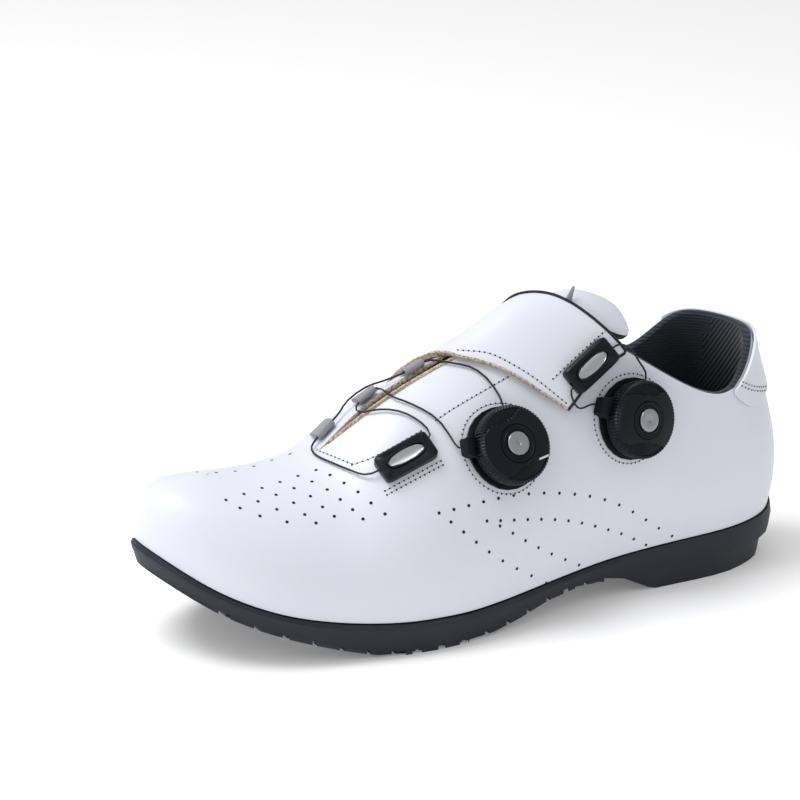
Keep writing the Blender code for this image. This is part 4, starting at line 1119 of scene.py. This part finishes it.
def dial_cap(name, solid, turned, ticked):
    """A whole cap, turned by some degrees about its axis, with a pale tick or without one."""
    place = Place(solid, round_piece=True)
    profile = [(r, h) for r, h, _ in CAP_SIDE]
    face_rings = np.arange(FACE_FROM, FACE_TO, -FACE_STEP)
    profile += [(r, face_height(r)) for r in face_rings]
    profile += list(CAP_HUB)
    form = bmesh.new()
    verts = [form.verts.new((r * MM, 0, h * MM)) for r, h in profile]
    edges = [form.edges.new(pair) for pair in zip(verts, verts[1:])]
    bmesh.ops.spin(
        form, geom=verts + edges, cent=(0, 0, 0), axis=(0, 0, 1), angle=2 * math.pi,
        steps=2 * RIBS, use_merge=True, use_duplicate=False,
    )
    bmesh.ops.remove_doubles(form, verts=form.verts, dist=1e-6)
    ribbed = {(round(r, 2)) for r, _, rib in CAP_SIDE if rib}
    for vert in form.verts:
        radius = vert.co.xy.length / MM
        turn = math.atan2(vert.co.y, vert.co.x) % (2 * math.pi)
        step = round(turn / (math.pi / RIBS))
        on_face = FACE_TO - 0.1 < radius < FACE_FROM + 0.1
        on_side = round(radius, 2) in ribbed and vert.co.z > 1.3 * MM
        outside_plate = radius > plate_edge(turn)
        if on_face and outside_plate:
            vert.co.z -= PLATE_STEP * min((radius - FACE_TO) / 1.5, 1.0)
        if step % 2 and (on_side or (on_face and outside_plate)):
            if on_side:
                vert.co.xy *= 1 - RIB_DEPTH / (radius * MM)
            if radius < CAP_RIM:
                vert.co.z -= RIB_DEPTH * 0.8
    bmesh.ops.recalc_face_normals(form, faces=form.faces)
    if sum(face.normal.z * face.calc_area() for face in form.faces) < 0:
        bmesh.ops.reverse_faces(form, faces=form.faces)
    for face in form.faces:
        middle = face.calc_center_median()
        if middle.xy.length < BUTTON_RADIUS and middle.z > 7.9 * MM:
            face.material_index = 1
    if ticked:
        tick = bmesh.ops.create_cube(form, size=1.0)["verts"]
        spot = Matrix.Translation((TICK_MIDDLE[0] * MM, TICK_MIDDLE[1] * MM, 7.10 * MM))
        shape = Matrix.Rotation(math.radians(TICK_TURN), 4, "Z") @ Matrix.Diagonal((*TICK, 1))
        bmesh.ops.transform(form, verts=tick, matrix=spot @ shape)
        for face in {face for vert in tick for face in vert.link_faces}:
            face.material_index = 2
    spun = Matrix.Rotation(math.radians(turned), 4, "Z")
    bmesh.ops.transform(form, verts=form.verts, matrix=place.matrix() @ spun)
    worn_by(piece(name, form, (black, button, mark), 28), "black_plastic", solid)
    return place


dials = [
    dial_cap("lower_dial", "dial_cap_lower", 0, True),
    dial_cap("upper_dial", "dial_cap_upper", -28, False),
]

# %% Dial bases
for solid, name in (("dial_base_lower", "lower_dial_base"), ("dial_base_upper", "upper_dial_base")):
    obj = piece(name, copied(solid), (dull_black,), 35)
    modified(obj, "BEVEL", width=0.25 * MM, segments=2, limit_method="ANGLE",
             angle_limit=math.radians(40))
    obj.data.shade_smooth()
    obj.data.set_sharp_from_angle(angle=math.radians(40))
    worn_by(obj, "black_plastic", solid)

# %% [markdown]
# ## The sole
# The outsole is one rubber moulding: a smooth band round the side, a tread of small lugs below, a
# heel block and a toe bumper. A grey plate with raised studs covers the fixing holes under the
# forefoot.

# %% Outsole
form = bmesh.new()
form.from_mesh(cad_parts["outsole"].data)
bmesh.ops.remove_doubles(form, verts=form.verts, dist=1e-6)
sole = piece("rubber_sole", form, (rubber,), 32)
worn_by(sole, "rubber", "outsole")

# %% Cover over the fixing holes
STUD_DISH = 0.45 * MM
STUD_AREA = (55e-6, 95e-6)

form = bmesh.new()
form.from_mesh(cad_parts["cleat_cover"].data)
bmesh.ops.remove_doubles(form, verts=form.verts, dist=1e-6)
bmesh.ops.dissolve_limit(
    form, angle_limit=math.radians(2), verts=form.verts, edges=form.edges, delimit={"NORMAL"}
)
stud_ends = [
    face for face in form.faces
    if len(face.verts) >= 9
    and face.normal.z < -0.9
    and STUD_AREA[0] < face.calc_area() < STUD_AREA[1]
]
print("studs:", len(stud_ends))
bmesh.ops.inset_individual(form, faces=stud_ends, thickness=1.0 * MM, depth=0)
bmesh.ops.inset_individual(form, faces=stud_ends, thickness=0.6 * MM, depth=-STUD_DISH)
cover = piece("fixing_cover", form, (grey,), 32)
worn_by(cover, "grey_plastic", "cleat_cover")

# %% [markdown]
# ## Seams
# Each seam is drawn where the picture shows its dotted line. Rings of stitches hold the dials'
# bases, double rows close the heel tab and hold the lower guide, and single rows run beside the
# throat and the strap.

# %% Seams on the upper, the heel tab and the strap
UPPER_SEAMS = (
    # spots of the picture in pixels
    ((352, 465), (378, 455), (421, 431)),
    ((317, 450), (352, 464)),
    ((436, 420), (461, 404), (508, 377)),
    ((385, 491), (441, 461)),
    ((387, 495), (443, 465)),
)
STRAP_SEAMS = (
    ((458, 350), (488, 353), (512, 364), (536, 379), (566, 403)),
    ((606, 330), (577, 356), (553, 379)),
)
HEEL_SEAMS = (
    ((742, 386), (752, 390), (762, 391), (770, 389)),
    ((743, 382), (753, 386), (763, 387), (770, 385)),
)
SEAM_SAMPLES = 24
RING_SAMPLES = 60
STITCH_RING = 18.1 * MM


def seen_lines(rows, surface):
    """Rows of picture spots, met on a surface. A row that the surface doesn't meet is left out."""
    lines = []
    for spots in rows:
        hits = [surface.seen(x, y) for x, y in smooth_line(spots, SEAM_SAMPLES)]
        met = [hit[0] for hit in hits if hit is not None]
        if len(met) > 2:
            lines.append(met)
    return lines


def ring_line(place, radius, surface):
    """A ring round a dial, met along its axis on the surface below."""
    line = []
    for turn in np.linspace(0, 2 * math.pi, RING_SAMPLES):
        around = place.along * math.cos(turn) + place.side * math.sin(turn)
        origin = place.foot + around * radius + place.out * 0.01
        hit = surface.cast(origin, -place.out, 0.04)
        if hit is not None:
            line.append(hit[0])
    return line


rings = [ring_line(place, STITCH_RING, skin) for place in dials]
seam("upper_seams", seen_lines(UPPER_SEAMS, skin) + rings, skin)
heel_skin = Skin(bpy.data.objects["heel_patch"])
seam("heel_seams", seen_lines(HEEL_SEAMS, heel_skin), heel_skin)
strap_skin = Skin(strap)
seam("strap_seams", seen_lines(STRAP_SEAMS, strap_skin), strap_skin)
